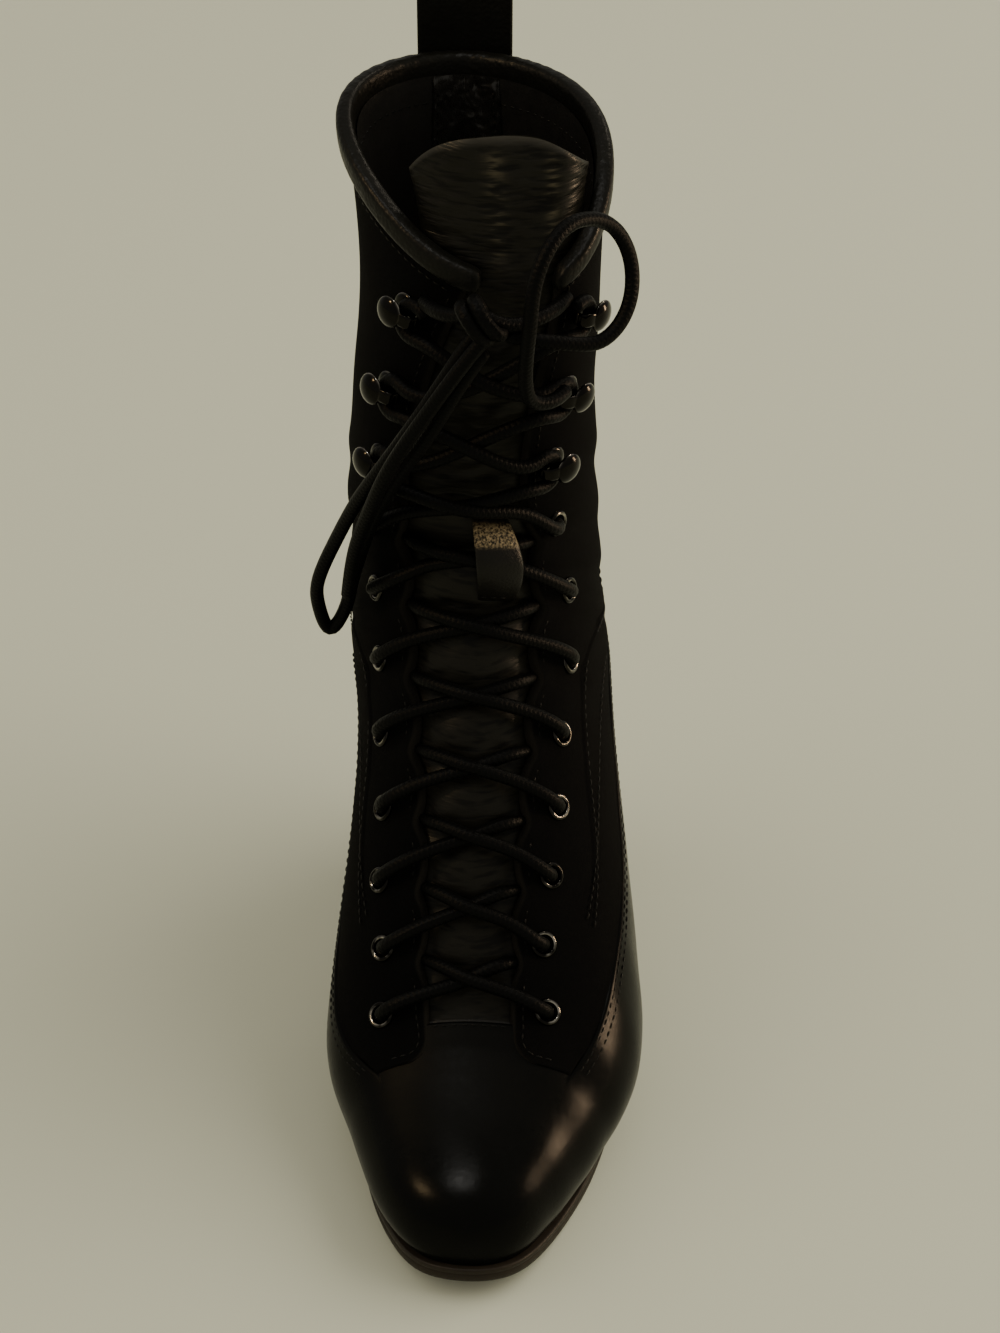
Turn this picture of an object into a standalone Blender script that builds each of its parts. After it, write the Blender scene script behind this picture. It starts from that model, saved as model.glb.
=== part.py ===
"""Heeled lace-up boot for the left foot: leather vamp and foxing, suede quarters and shaft, stacked heel.

The boot stands on the floor, +Z up, with its toe towards -Y and the outer side of the foot towards +X.
Sizes are in millimetres and are turned into metres where a mesh is made.
"""

import math

import bpy
import numpy as np

for thing in list(bpy.data.objects):
    bpy.data.objects.remove(thing, do_unlink=True)

MM = 0.001
ORIGIN_X = -1.392
ORIGIN_Y = 5.4

# The sole and the heel
SOLE_THICK = 5.0
SOLE_EDGE = 2.2
TOE_SPRING = 7.0
TREAD_FRONT_Y = -64.0
TREAD_BACK_Y = -22.0
HEEL_BREAST_Y = 60.0
LIFT_THICK = 6.0
LIFT_BREAST_Y = 67.0
LIFT_BACK_Y = 109.0
LIFT_HALF = 23.0
INSOLE_THICK = 2.5
INSOLE_INSET = 4.0
SEAT_GAP = 0.3

# The wall of the upper and what lies on it
WALL = 2.2
QUARTER_STEP = 0.7
FOXING_STEP = 1.4
THROAT = 4.45
COUNTER_TOP = 11.4
HEEL_ROW = 10
TONGUE_GAP = 0.7
TONGUE_THICK = 2.6
TONGUE_RISE = 44.3

# Eyelets, hooks and lace
EYELET_OUTER = 4.2
EYELET_BORE = 2.4
EYELET_BARREL = 2.9
EYELET_HOLE = 3.5
HOOK_WIDE = 4.6
HOOK_NECK = 2.0
HOOK_PLATE = 1.0
HOOK_HIGH = 6.4
LACE_RADIUS = 2.1
KEEPER_WIDE = 11.0
KEEPER_THICK = 1.6
KEEPER_RISE = 6.9
ROLL_HIGH = 4.4
ROLL_DEEP = 2.7
STRAP_HALF = 14.0
STRAP_THICK = 2.0


def curve(knots, values, start=None, end=None):
    """A cubic through the values at the knots; an end with no slope given doesn't bend."""
    x = np.asarray(knots, float)
    y = np.asarray(values, float)
    h = np.diff(x)
    rows = np.zeros((len(x), len(x)))
    right = np.zeros(len(x))
    rows[0, 0] = 1.0
    rows[-1, -1] = 1.0
    for i in range(1, len(x) - 1):
        rows[i, i - 1:i + 2] = h[i - 1], 2.0 * (h[i - 1] + h[i]), h[i]
        right[i] = 6.0 * ((y[i + 1] - y[i]) / h[i] - (y[i] - y[i - 1]) / h[i - 1])
    if start is not None:
        rows[0, :2] = 2.0 * h[0], h[0]
        right[0] = 6.0 * ((y[1] - y[0]) / h[0] - start)
    if end is not None:
        rows[-1, -2:] = h[-1], 2.0 * h[-1]
        right[-1] = 6.0 * (end - (y[-1] - y[-2]) / h[-1])
    bend = np.linalg.solve(rows, right)

    def at(u):
        u = np.clip(np.asarray(u, float), x[0], x[-1])
        i = np.clip(np.searchsorted(x, u, side="right") - 1, 0, len(x) - 2)
        a = (x[i + 1] - u) / h[i]
        b = (u - x[i]) / h[i]
        return a * y[i] + b * y[i + 1] + ((a**3 - a) * bend[i] + (b**3 - b) * bend[i + 1]) * h[i]**2 / 6.0

    return at


# Height of the foot's underside along the boot behind the tread: y, z
ARCH = [(-22, 5.0), (0, 11.5), (20, 26), (40, 44), (60, 60), (80, 71), (100, 78.5), (122, 85)]
ARCH_Z = curve([row[0] for row in ARCH], [row[1] for row in ARCH], start=0.0)


def seat_z(y):
    """Top of the sole: flat over the tread, a parabola up to the toe, the arch up to the heel seat."""
    y = np.asarray(y, float)
    spring = TOE_SPRING * (np.clip(TREAD_FRONT_Y - y, 0.0, None) / 50.0) ** 2
    return np.where(y > TREAD_BACK_Y, ARCH_Z(y), SOLE_THICK + spring)


# One row per section of the upper, from the toe tip to the collar. Each section runs from a point on
# the front line (front_y, front_z, front_x) to a point on the low line (low_y, low_x), which is the edge
# of the sole up to the back of the heel. lateral and medial are its greatest half widths, end_lat and
# end_med the angle in degrees at which it meets the low line, full how square its shoulders are, lift its
# rise at the side.
SECTION_COLUMNS = ("front_y", "front_z", "front_x", "low_y", "low_x", "lateral", "medial",
                   "end_lat", "end_med", "full_top", "full_low", "lift")
SECTIONS = [
    (-114.0, 19.5, -2.8, -114.0, -2.8, 0.0, 0.0, 119, 123, 0.10, 0.0, 0.0),
    (-109.0, 30.0, -2.6, -110.0, -2.6, 12.7, 16.5, 122, 126, 0.14, 0.0, 0.0),
    (-96.0, 36.5, -2.8, -98.0, -2.0, 22.1, 27.4, 124, 127, 0.16, 0.0, 0.0),
    (-80.0, 41.5, -3.4, -82.0, -1.2, 30.9, 34.2, 127, 123, 0.14, 0.0, 0.0),
    (-63.0, 49.0, -4.6, -60.0, 0.0, 40.3, 40.7, 129, 119, 0.08, 0.0, 0.0),
    (-47.0, 62.0, -5.5, -30.0, 0.0, 47.3, 46.2, 127, 117, 0.02, 0.0, 0.0),
    (-31.0, 84.0, -5.5, 0.0, 0.5, 46.3, 44.8, 122, 121, -0.05, 0.0, 0.0),
    (-15.0, 106.0, -5.0, 32.0, 1.0, 42.0, 41.8, 122, 127, -0.06, 0.0, 0.0),
    (0.0, 127.0, -5.0, 66.0, 1.0, 37.8, 40.2, 125, 127, -0.05, 0.0, 0.0),
    (11.0, 145.0, -5.0, 98.0, 1.5, 35.8, 42.3, 134, 135, -0.04, 0.0, 0.0),
    (17.0, 160.0, -5.0, 115.5, 1.5, 34.8, 42.0, 180, 180, -0.03, 0.0, 0.0),
    (20.0, 175.0, -6.0, 117.0, 0.5, 34.5, 40.8, 180, 180, -0.02, -0.05, 0.0),
    (21.5, 188.0, -7.0, 111.0, -2.0, 35.0, 39.5, 180, 180, 0.0, -0.08, 0.0),
    (22.0, 204.0, -6.0, 103.5, -5.0, 35.0, 37.3, 180, 180, 0.0, -0.08, 0.0),
    (22.0, 222.0, -2.5, 100.5, -7.5, 34.2, 35.6, 180, 180, 0.0, -0.06, 1.0),
    (22.0, 238.0, 2.5, 102.0, -9.0, 33.0, 35.4, 180, 180, 0.0, -0.10, 4.0),
    (23.0, 252.0, 6.5, 106.5, -10.0, 31.2, 39.2, 180, 180, 0.06, -0.26, 10.5),
]
# Height of the back line at the sections from the heel up
BACK_Z = [83.8, 106.0, 142.0, 176.0, 206.0, 242.0, 280.0]
# Half the gap between the facings to each side of the front line: section, lateral, medial
FACING_GAP = [(4.3, 12.3, 12.3), (5, 12.6, 12.6), (6, 13.0, 13.2), (7, 14.0, 15.0), (8, 15.8, 17.5),
              (9, 16.8, 19.0), (10, 17.0, 19.8), (11, 16.6, 20.0), (12, 16.2, 19.5), (13, 16.0, 18.0),
              (14, 15.8, 16.8), (15, 15.0, 15.5), (16, 13.5, 13.5)]
# How far down each section the foxing starts: section, lateral share, medial share
FOXING_TOP = [(4.45, 0.381, 0.467), (5, 0.425, 0.523), (6, 0.535, 0.61), (7, 0.64, 0.675), (8, 0.69, 0.70),
              (9, 0.69, 0.69), (10, 0.64, 0.64), (11, 0.73, 0.73), (11.4, 0.80, 0.80)]
# Eyelets, then hooks: section, distance from the edge of the lateral and of the medial facing
EYELETS = [(4.71, 10.3, 14.2), (5.52, 8.7, 13.3), (6.28, 9.6, 14.2), (7.03, 10.0, 12.4), (7.82, 9.0, 11.6),
           (8.75, 9.8, 10.8), (10.05, 9.0, 10.8), (11.4, 7.8, 11.0)]
HOOKS = [(12.7, 7.0, 7.4), (13.9, 8.2, 8.8), (15.15, 8.6, 10.2)]
TOP = len(SECTIONS) - 1


def column(name, start=None):
    k = SECTION_COLUMNS.index(name)
    return curve(range(TOP + 1), [row[k] for row in SECTIONS], start)


SIZE = {name: column(name) for name in SECTION_COLUMNS}
SIZE["front_y"] = column("front_y", start=0.0)
LOW_Y = SECTION_COLUMNS.index("low_y")
FOOT_Y = curve(range(HEEL_ROW + 1), [row[LOW_Y] for row in SECTIONS[:HEEL_ROW + 1]], 0.0, 0.0)
BACK_Y = curve(range(HEEL_ROW, TOP + 1), [row[LOW_Y] for row in SECTIONS[HEEL_ROW:]])
BACK_UP = curve(range(HEEL_ROW, TOP + 1), BACK_Z)
LOW_Z = [float(seat_z(row[LOW_Y])) + SEAT_GAP for row in SECTIONS[:HEEL_ROW]] + BACK_Z
FAIR_Z = curve(range(TOP + 1), LOW_Z)
END_LAT = curve(range(HEEL_ROW + 1), [row[7] for row in SECTIONS[:HEEL_ROW + 1]])
END_MED = curve(range(HEEL_ROW + 1), [row[8] for row in SECTIONS[:HEEL_ROW + 1]])
GAP_LATERAL = curve([row[0] for row in FACING_GAP], [row[1] for row in FACING_GAP])
GAP_MEDIAL = curve([row[0] for row in FACING_GAP], [row[2] for row in FACING_GAP])
FOXING_LATERAL = curve([row[0] for row in FOXING_TOP], [row[1] for row in FOXING_TOP])
FOXING_MEDIAL = curve([row[0] for row in FOXING_TOP], [row[2] for row in FOXING_TOP])


def end_angle(p, side):
    """Angle at which the section meets the low line."""
    foot = END_LAT(p) if side > 0 else END_MED(p)
    return np.radians(np.where(p < HEEL_ROW, foot, 180.0))


def surface(p, t, side):
    """A point of the upper's outer face: section p, share t down it, side +1 lateral, -1 medial.

    Across, the half width times sin(a) (1 + full cos(a)^2); along the section, 1 - cos(a), so each section
    is a rounded arch that leaves the front line square to it and tucks in under its widest line. It heads
    for a fair line through the low points and turns to the low line itself, with its corner at the heel,
    near its end.
    """
    p, t = np.broadcast_arrays(np.asarray(p, float), np.asarray(t, float))
    end = end_angle(p, side)
    a = t * end
    full = SIZE["full_top"](p) + (SIZE["full_low"](p) - SIZE["full_top"](p)) * a / math.pi
    across = SIZE["lateral" if side > 0 else "medial"](p) * np.sin(a) * (1.0 + full * np.cos(a)**2)
    along = (1.0 - np.cos(a)) / (1.0 - np.cos(end))
    low_y = np.where(p < HEEL_ROW, FOOT_Y(p), BACK_Y(p))
    low_z = np.where(p < HEEL_ROW, seat_z(low_y) + SEAT_GAP, BACK_UP(p))
    low_y = SIZE["low_y"](p) + (low_y - SIZE["low_y"](p)) * along**6
    low_z = FAIR_Z(p) + (low_z - FAIR_Z(p)) * along**6
    x = SIZE["front_x"](p) + (SIZE["low_x"](p) - SIZE["front_x"](p)) * along + side * across
    y = SIZE["front_y"](p) + (low_y - SIZE["front_y"](p)) * along
    z = SIZE["front_z"](p) + (low_z - SIZE["front_z"](p)) * along + SIZE["lift"](p) * np.sin(a)**2
    return np.stack([x, y, z], axis=-1)


def outward(p, t, side):
    """Unit normal of the upper's outer face."""
    d = 1e-3
    p, t = np.broadcast_arrays(np.asarray(p, float), np.asarray(t, float))
    up = surface(np.minimum(p + d, TOP), t, side) - surface(np.maximum(p - d, 0.0), t, side)
    down = surface(p, np.minimum(t + d, 1.0), side) - surface(p, np.maximum(t - d, 0.0), side)
    n = side * np.cross(down, up)
    return n / np.linalg.norm(n, axis=-1, keepdims=True)


def gap_half(p, side):
    """Distance from the front line to the edge of one facing."""
    return GAP_LATERAL(p) if side > 0 else GAP_MEDIAL(p)


def share_at(p, half, side):
    """Share of the way down section p at which the wall is half millimetres from the front line."""
    p = np.asarray(p, float)
    wide = SIZE["lateral" if side > 0 else "medial"](p)
    a = np.zeros_like(p)
    for _ in range(8):
        a = np.arcsin(np.clip(half / (wide * (1.0 + SIZE["full_top"](p) * np.cos(a)**2)), 0.0, 1.0))
    return a / end_angle(p, side)


def material(name, colour, roughness, metallic=0.0):
    made = bpy.data.materials.new(name)
    made.use_nodes = True
    shader = made.node_tree.nodes["Principled BSDF"]
    shader.inputs["Base Color"].default_value = (*colour, 1.0)
    shader.inputs["Roughness"].default_value = roughness
    shader.inputs["Metallic"].default_value = metallic
    return made


CALF = material("black_calf", (0.022, 0.020, 0.019), 0.35)
SUEDE = material("black_suede", (0.020, 0.019, 0.019), 0.9)
SOLE_LEATHER = material("dark_sole_leather", (0.045, 0.028, 0.020), 0.5)
RUBBER = material("black_rubber", (0.02, 0.02, 0.02), 0.8)
LINING = material("black_lining", (0.03, 0.028, 0.026), 0.6)
BLACK_NICKEL = material("black_nickel", (0.12, 0.12, 0.13), 0.3, 1.0)
CORD = material("waxed_cord", (0.015, 0.015, 0.015), 0.6)

PARTS = bpy.data.collections.new("heeled_lace_up_boot")
CUTTERS = bpy.data.collections.new("cutters")
bpy.context.scene.collection.children.link(PARTS)
bpy.context.scene.collection.children.link(CUTTERS)


def add(name, points, faces, finish, collection=PARTS):
    """A mesh object from points in millimetres."""
    mesh = bpy.data.meshes.new(name)
    placed = (np.asarray(points, float) - (ORIGIN_X, ORIGIN_Y, 0.0)) * MM
    mesh.from_pydata(placed.tolist(), [], [list(map(int, face)) for face in faces])
    mesh.materials.append(finish)
    made = bpy.data.objects.new(name, mesh)
    collection.objects.link(made)
    if collection is CUTTERS:
        made.hide_render = True
        made.display_type = "WIRE"
    return made


def boolean(target, cutter, operation):
    step = target.modifiers.new(operation.lower(), "BOOLEAN")
    step.operation = operation
    step.solver = "EXACT"
    step.object = cutter


def shell(name, outer, inner, faces, finish):
    """A closed wall between two faces that share one list of cells, with a rim along every open edge."""
    count = len(outer)
    sides = {}
    for face in faces:
        for a, b in zip(face, face[1:] + face[:1]):
            sides[(a, b)] = True
    rim = [(b, a, a + count, b + count) for a, b in sides if (b, a) not in sides]
    back = [tuple(v + count for v in reversed(face)) for face in faces]
    return add(name, np.vstack([outer, inner]), faces + back + rim, finish)


def slab(name, top, bottom, finish):
    """A closed solid between two grids of rows across the boot whose end rows have closed to a point."""
    rows, across = top.shape[:2]
    keep = np.arange(rows * across).reshape(rows, across)
    keep[0, :] = keep[0, 0]
    keep[-1, :] = keep[-1, 0]
    used, index = np.unique(keep, return_inverse=True)
    index = index.reshape(rows, across)
    faces = []
    for i in range(rows - 1):
        for j in range(across - 1):
            ring = [index[i, j], index[i + 1, j], index[i + 1, j + 1], index[i, j + 1]]
            faces.append(tuple(dict.fromkeys(map(int, ring))))
    return shell(name, top.reshape(-1, 3)[used], bottom.reshape(-1, 3)[used], faces, finish)


# Sections that the solids are cut at: closer round the toe and the heel, a pair at each step of the wall
STEP = 0.02
ROWS = np.array([0, 0.25, 0.5, 0.75, 1, 1.5, 2, 2.5, 3, 3.6, THROAT - STEP, THROAT, 4.6, 5, 5.5, 6, 6.5, 7,
                 7.5, 8, 8.5, 9, 9.25, 9.5, 9.75, 10, 10.5, 11, COUNTER_TOP, COUNTER_TOP + STEP, 12, 13, 14,
                 15, 16])
THROAT_ROW = int(np.searchsorted(ROWS, THROAT))
BACK_ROW = int(np.searchsorted(ROWS, HEEL_ROW))
FOOT_ROWS = ROWS[:BACK_ROW + 1]


def edge_line(side, grow):
    """The edge of the upper's underside moved outwards in plan by grow, by less behind the tread."""
    edge = surface(FOOT_ROWS, 1.0, side)[:, :2]
    if grow > 0.0:
        grow = (grow * (1.0 - 0.5 * np.clip((edge[:, 1] - TREAD_BACK_Y) / 50.0, 0.0, 1.0)))[:, None]
    run = np.gradient(edge, axis=0)
    run[0] = (side, 0.0)
    run[-1] = (-side, 0.0)
    out = np.stack([run[:, 1], -run[:, 0]], axis=1) * side
    return edge + grow * out / np.linalg.norm(out, axis=1, keepdims=True)


def plan_grid(grow, shares):
    """Rows of points across the sole from its lateral to its medial edge."""
    outer = edge_line(1, grow)
    inner = edge_line(-1, grow)
    middle = 0.5 * (outer[[0, -1]] + inner[[0, -1]])
    outer[[0, -1]] = middle
    inner[[0, -1]] = middle
    return outer[:, None, :] + (inner - outer)[:, None, :] * shares[None, :, None]


def sole_drop(y):
    """Upright thickness of the sole: full over the tread, thinner and square to the slope behind it."""
    slope = seat_z(y + 0.5) - seat_z(y - 0.5)
    thick = SOLE_THICK - 1.2 * np.clip((y - TREAD_BACK_Y) / 40.0, 0.0, 1.0)
    return np.where(y > TREAD_BACK_Y, thick * np.sqrt(1.0 + slope**2), SOLE_THICK)


# Leather sole with its narrow ledge round the upper
plan = plan_grid(SOLE_EDGE, np.array([0.0, 0.12, 0.5, 0.88, 1.0]))
top = np.concatenate([plan, seat_z(plan[..., 1])[..., None]], axis=2)
low = seat_z(plan[..., 1]) - sole_drop(plan[..., 1])
bottom = np.concatenate([plan, low[..., None]], axis=2)
slab("outsole", top, bottom, SOLE_LEATHER)

# Footbed inside the upper
plan = plan_grid(-INSOLE_INSET, np.array([0.0, 0.5, 1.0]))
base = np.concatenate([plan, seat_z(plan[..., 1])[..., None] + SEAT_GAP], axis=2)
slab("insole", base + (0.0, 0.0, INSOLE_THICK), base, LINING)

# Stacked heel: its head follows the outline and slope of the sole's seat, its foot is a smaller plain D
heel_out = plan_grid(SOLE_EDGE - 0.6, np.array([0.0, 1.0]))
behind = heel_out[:, 0, 1] > HEEL_BREAST_Y + 3.0
seat_line = np.vstack([heel_out[behind][:, 0], heel_out[behind][::-1][1:, 1]])
front = np.array([[seat_line[0, 0], HEEL_BREAST_Y], [seat_line[-1, 0], HEEL_BREAST_Y]])
head = np.vstack([front[:1], seat_line, front[1:]])
turn = np.linspace(0.0, math.pi, len(head) - 2)
axis_x = 0.5 * (head[0, 0] + head[-1, 0])
bend_y = LIFT_BACK_Y - LIFT_HALF
bow = np.stack([axis_x + LIFT_HALF * np.cos(turn), bend_y + LIFT_HALF * np.sin(turn)], axis=1)
foot = np.vstack([[axis_x + LIFT_HALF, LIFT_BREAST_Y], bow, [axis_x - LIFT_HALF, LIFT_BREAST_Y]])
levels = np.array([0.0, 0.3, 0.65, 1.0])
taper = 1.0 - (1.0 - levels)**1.35
outline = head[None] + (foot - head)[None] * taper[:, None, None]
head_z = np.interp(head[:, 1], bottom[:, 2, 1], bottom[:, 2, 2]) - SEAT_GAP
foot_z = LIFT_THICK + SEAT_GAP
heights = head_z[None] + (foot_z - head_z)[None] * levels[:, None]
rings = np.concatenate([outline, heights[..., None]], axis=2)
count = len(head)
faces = []
for i in range(len(levels) - 1):
    for j in range(count):
        k = (j + 1) % count
        faces.append((i * count + j, (i + 1) * count + j, (i + 1) * count + k, i * count + k))
seat_cap = [(j, j + 1, count - 2 - j, count - 1 - j) for j in range(count // 2 - 1)]
if count % 2:
    seat_cap.append((count // 2 - 1, count // 2, count // 2 + 1))
last = (len(levels) - 1) * count
faces += seat_cap
faces.append(tuple(last + j for j in reversed(range(count))))
add("heel", rings.reshape(-1, 3), faces, SOLE_LEATHER)

# Rubber top lift under the heel
lift_top = np.column_stack([foot, np.full(count, LIFT_THICK)])
lift = np.vstack([lift_top, np.column_stack([foot, np.zeros(count)])])
faces = [(j, j + count, (j + 1) % count + count, (j + 1) % count) for j in range(count)]
faces.append(tuple(range(count)))
faces.append(tuple(reversed(range(count, 2 * count))))
add("heel_top_lift", lift, faces, RUBBER)


def wall_columns(p, side):
    """Shares down one section: front line, facing edge, foxing edge as a close pair, low line."""
    q = np.clip(p, THROAT, None)
    facing = float(share_at(q, gap_half(q, side), side))
    foxing = float((FOXING_LATERAL if side > 0 else FOXING_MEDIAL)(np.clip(p, THROAT, COUNTER_TOP)))
    spread = np.linspace(0.0, 1.0, 7)**1.4
    return np.concatenate([np.linspace(0.0, facing, 4)[:-1], facing + (foxing - 0.006 - facing) * spread,
                           np.linspace(foxing, 1.0, 6)])


FACING_COLUMN = 3
FOXING_COLUMN = 10
columns = 16
points = []
inside = []
grids = []
for side in (1, -1):
    grid = np.zeros((len(ROWS), columns), int)
    for i, p in enumerate(ROWS):
        t = wall_columns(p, side)
        spot = surface(p, t, side)
        n = outward(p, t, side)
        step = np.full(columns, QUARTER_STEP)
        step[FOXING_COLUMN:] = FOXING_STEP if p <= COUNTER_TOP else QUARTER_STEP
        if p < THROAT:
            step[:] = 0.0
        for j in range(columns):
            shared = i == 0 or (j == 0 and i <= THROAT_ROW) or (j == columns - 1 and i >= BACK_ROW)
            if side < 0 and shared:
                grid[i, j] = grids[0][i, j]
                continue
            grid[i, j] = len(points)
            face = spot[j] + n[j] * step[j]
            back = spot[j] - n[j] * WALL
            if j == columns - 1 and i <= BACK_ROW:
                level = n[j] * (1.0, 1.0, 0.0) / np.linalg.norm(n[j, :2])
                face = spot[j] + level * step[j]
                back = spot[j] - level * WALL
                face[2] = seat_z(face[1]) + SEAT_GAP
                back[2] = seat_z(back[1]) + SEAT_GAP
            points.append(face)
            inside.append(back)
    grids.append(grid)
faces = []
for side, grid in zip((1, -1), grids):
    for i in range(len(ROWS) - 1):
        for j in range(columns - 1):
            if j < FACING_COLUMN and i >= THROAT_ROW:
                continue
            cell = (grid[i, j], grid[i + 1, j], grid[i + 1, j + 1], grid[i, j + 1])
            ring = tuple(dict.fromkeys(map(int, cell)))
            faces.append(ring if side < 0 else tuple(reversed(ring)))
used = sorted({v for face in faces for v in face})
order = {v: k for k, v in enumerate(used)}
faces = [tuple(order[v] for v in face) for face in faces]
upper = shell("upper", np.array(points)[used], np.array(inside)[used], faces, SUEDE)


def surface_frame(p, half, side):
    """A spot on the upper half mm from the front line: point, outward, up the facing, to the middle."""
    t = share_at(p, half, side)
    n = outward(p, t, side)
    above = p + 0.02
    below = p - 0.02
    up = surface(above, share_at(above, half, side), side) - surface(below, share_at(below, half, side), side)
    up = up - n * (up @ n)
    up = up / np.linalg.norm(up)
    return surface(p, t, side), n, up, side * np.cross(n, up)


def fastener(row, side):
    """Where an eyelet or hook of one row of their table sits."""
    p, lateral, medial = row
    return surface_frame(p, gap_half(p, side) + (lateral if side > 0 else medial), side)


# Holes for the eyelets in the facings
SEGMENTS = 8
turn = np.arange(SEGMENTS) * 2.0 * math.pi / SEGMENTS
ring = np.stack([np.cos(turn), np.sin(turn), np.zeros(SEGMENTS)], axis=1) * EYELET_HOLE
points = []
faces = []
for side in (1, -1):
    for row in EYELETS:
        spot, n, up, middle = fastener(row, side)
        first = len(points)
        for height in (-WALL - 2.0, QUARTER_STEP + 2.0):
            points.extend(spot + n * height + ring[:, :1] * middle * -side + ring[:, 1:2] * up)
        for j in range(SEGMENTS):
            k = (j + 1) % SEGMENTS
            faces.append((first + j, first + k, first + SEGMENTS + k, first + SEGMENTS + j))
        faces.append(tuple(first + j for j in reversed(range(SEGMENTS))))
        faces.append(tuple(first + SEGMENTS + j for j in range(SEGMENTS)))
boolean(upper, add("eyelet_holes", points, faces, SUEDE, CUTTERS), "DIFFERENCE")

# Eyelets: a flange on the facing and a barrel through its hole, turned from one profile
PROFILE = [(EYELET_BORE, -WALL - 0.4), (EYELET_BARREL, -WALL - 0.4), (EYELET_BARREL, QUARTER_STEP + 0.3),
           (EYELET_OUTER, QUARTER_STEP + 0.3), (EYELET_OUTER - 0.5, QUARTER_STEP + 1.1),
           (EYELET_BORE + 0.3, QUARTER_STEP + 1.2)]
for side, hand in ((1, "lateral"), (-1, "medial")):
    for number, row in enumerate(EYELETS, 1):
        spot, n, up, middle = fastener(row, side)
        points = []
        faces = []
        for j in range(SEGMENTS):
            spoke = math.cos(turn[j]) * middle * -side + math.sin(turn[j]) * up
            for radius, height in PROFILE:
                points.append(spot + n * height + radius * spoke)
        size = len(PROFILE)
        for j in range(SEGMENTS):
            k = (j + 1) % SEGMENTS
            for m in range(size):
                o = (m + 1) % size
                faces.append((j * size + m, k * size + m, k * size + o, j * size + o))
        add(f"eyelet_{hand}_{number}", points, faces, BLACK_NICKEL)

# Lace hooks: a plate on the facing, bent over on the side towards the middle and back out to a round cap.
# Columns: distance towards the middle, height above the facing, half width
HOOK_PATH = [(-4.4, 0.8, 2.2), (-2.0, 0.8, 4.0), (1.5, 0.8, 3.9), (4.2, 0.8, HOOK_NECK),
             (6.3, 1.9, HOOK_NECK), (6.9, 3.6, HOOK_NECK), (6.3, 5.3, HOOK_NECK),
             (4.2, HOOK_HIGH, HOOK_NECK), (1.8, HOOK_HIGH, 3.6), (-0.8, HOOK_HIGH, HOOK_WIDE),
             (-3.2, HOOK_HIGH, 3.9), (-4.8, HOOK_HIGH, 2.0)]
for side, hand in ((1, "lateral"), (-1, "medial")):
    for number, row in enumerate(HOOKS, 1):
        spot, n, up, middle = fastener(row, side)
        path = np.array(HOOK_PATH)
        run = np.gradient(path[:, :2], axis=0)
        run = run / np.linalg.norm(run, axis=1, keepdims=True)
        points = []
        for (along, high, half), (dx, dz) in zip(HOOK_PATH, run):
            for across, thick in ((-1, -0.5), (1, -0.5), (1, 0.5), (-1, 0.5)):
                local = along - dz * thick * HOOK_PLATE
                height = QUARTER_STEP + 0.1 + high + dx * thick * HOOK_PLATE
                points.append(spot + middle * local + n * height + up * across * half)
        faces = []
        for i in range(len(HOOK_PATH) - 1):
            for j in range(4):
                k = (j + 1) % 4
                faces.append((i * 4 + j, i * 4 + k, i * 4 + 4 + k, i * 4 + 4 + j))
        end = 4 * (len(HOOK_PATH) - 1)
        faces += [(3, 2, 1, 0), (end, end + 1, end + 2, end + 3)]
        faces = faces if side < 0 else [tuple(reversed(face)) for face in faces]
        add(f"hook_{hand}_{number}", points, faces, BLACK_NICKEL)

# Tongue under the facings, with a rounded top that stands above the collar
TONGUE_ROWS = [4.12, THROAT] + [p for p in ROWS if p >= 4.6 and p not in (9.25, 9.75, COUNTER_TOP + STEP)]
TONGUE_SIZES = [(4.12, 19.0), (6, 22.0), (8, 26.0), (11, 28.0), (13, 27.5), (16, 28.0)]
TONGUE_HALF = curve([row[0] for row in TONGUE_SIZES], [row[1] for row in TONGUE_SIZES])
TONGUE_LEAN = np.array([-0.03, 0.25, 0.97])
across = np.linspace(-1.0, 1.0, 9)
levels = []
for p in TONGUE_ROWS:
    row = []
    for u in across:
        side = 1 if u >= 0 else -1
        t = share_at(p, abs(u) * TONGUE_HALF(p), side)
        spot = surface(p, t, side)
        n = outward(p, t, side)
        row.append((spot - n * (WALL + TONGUE_GAP), spot - n * (WALL + TONGUE_GAP + TONGUE_THICK)))
    levels.append(row)
levels = np.array(levels)
rise = TONGUE_RISE * (1.0 - 0.077 * across - 0.37 * across**2 - 0.215 * across**4)
for share in (0.35, 0.7, 1.0):
    levels = np.concatenate([levels, levels[len(TONGUE_ROWS) - 1:len(TONGUE_ROWS)]
                             + (share * rise)[None, :, None, None] * TONGUE_LEAN])
grid = np.arange(levels.shape[0] * 9).reshape(-1, 9)
faces = [(int(grid[i, j]), int(grid[i, j + 1]), int(grid[i + 1, j + 1]), int(grid[i + 1, j]))
         for i in range(len(grid) - 1) for j in range(8)]
shell("tongue", levels[:, :, 0].reshape(-1, 3), levels[:, :, 1].reshape(-1, 3), faces, CALF)

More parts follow.
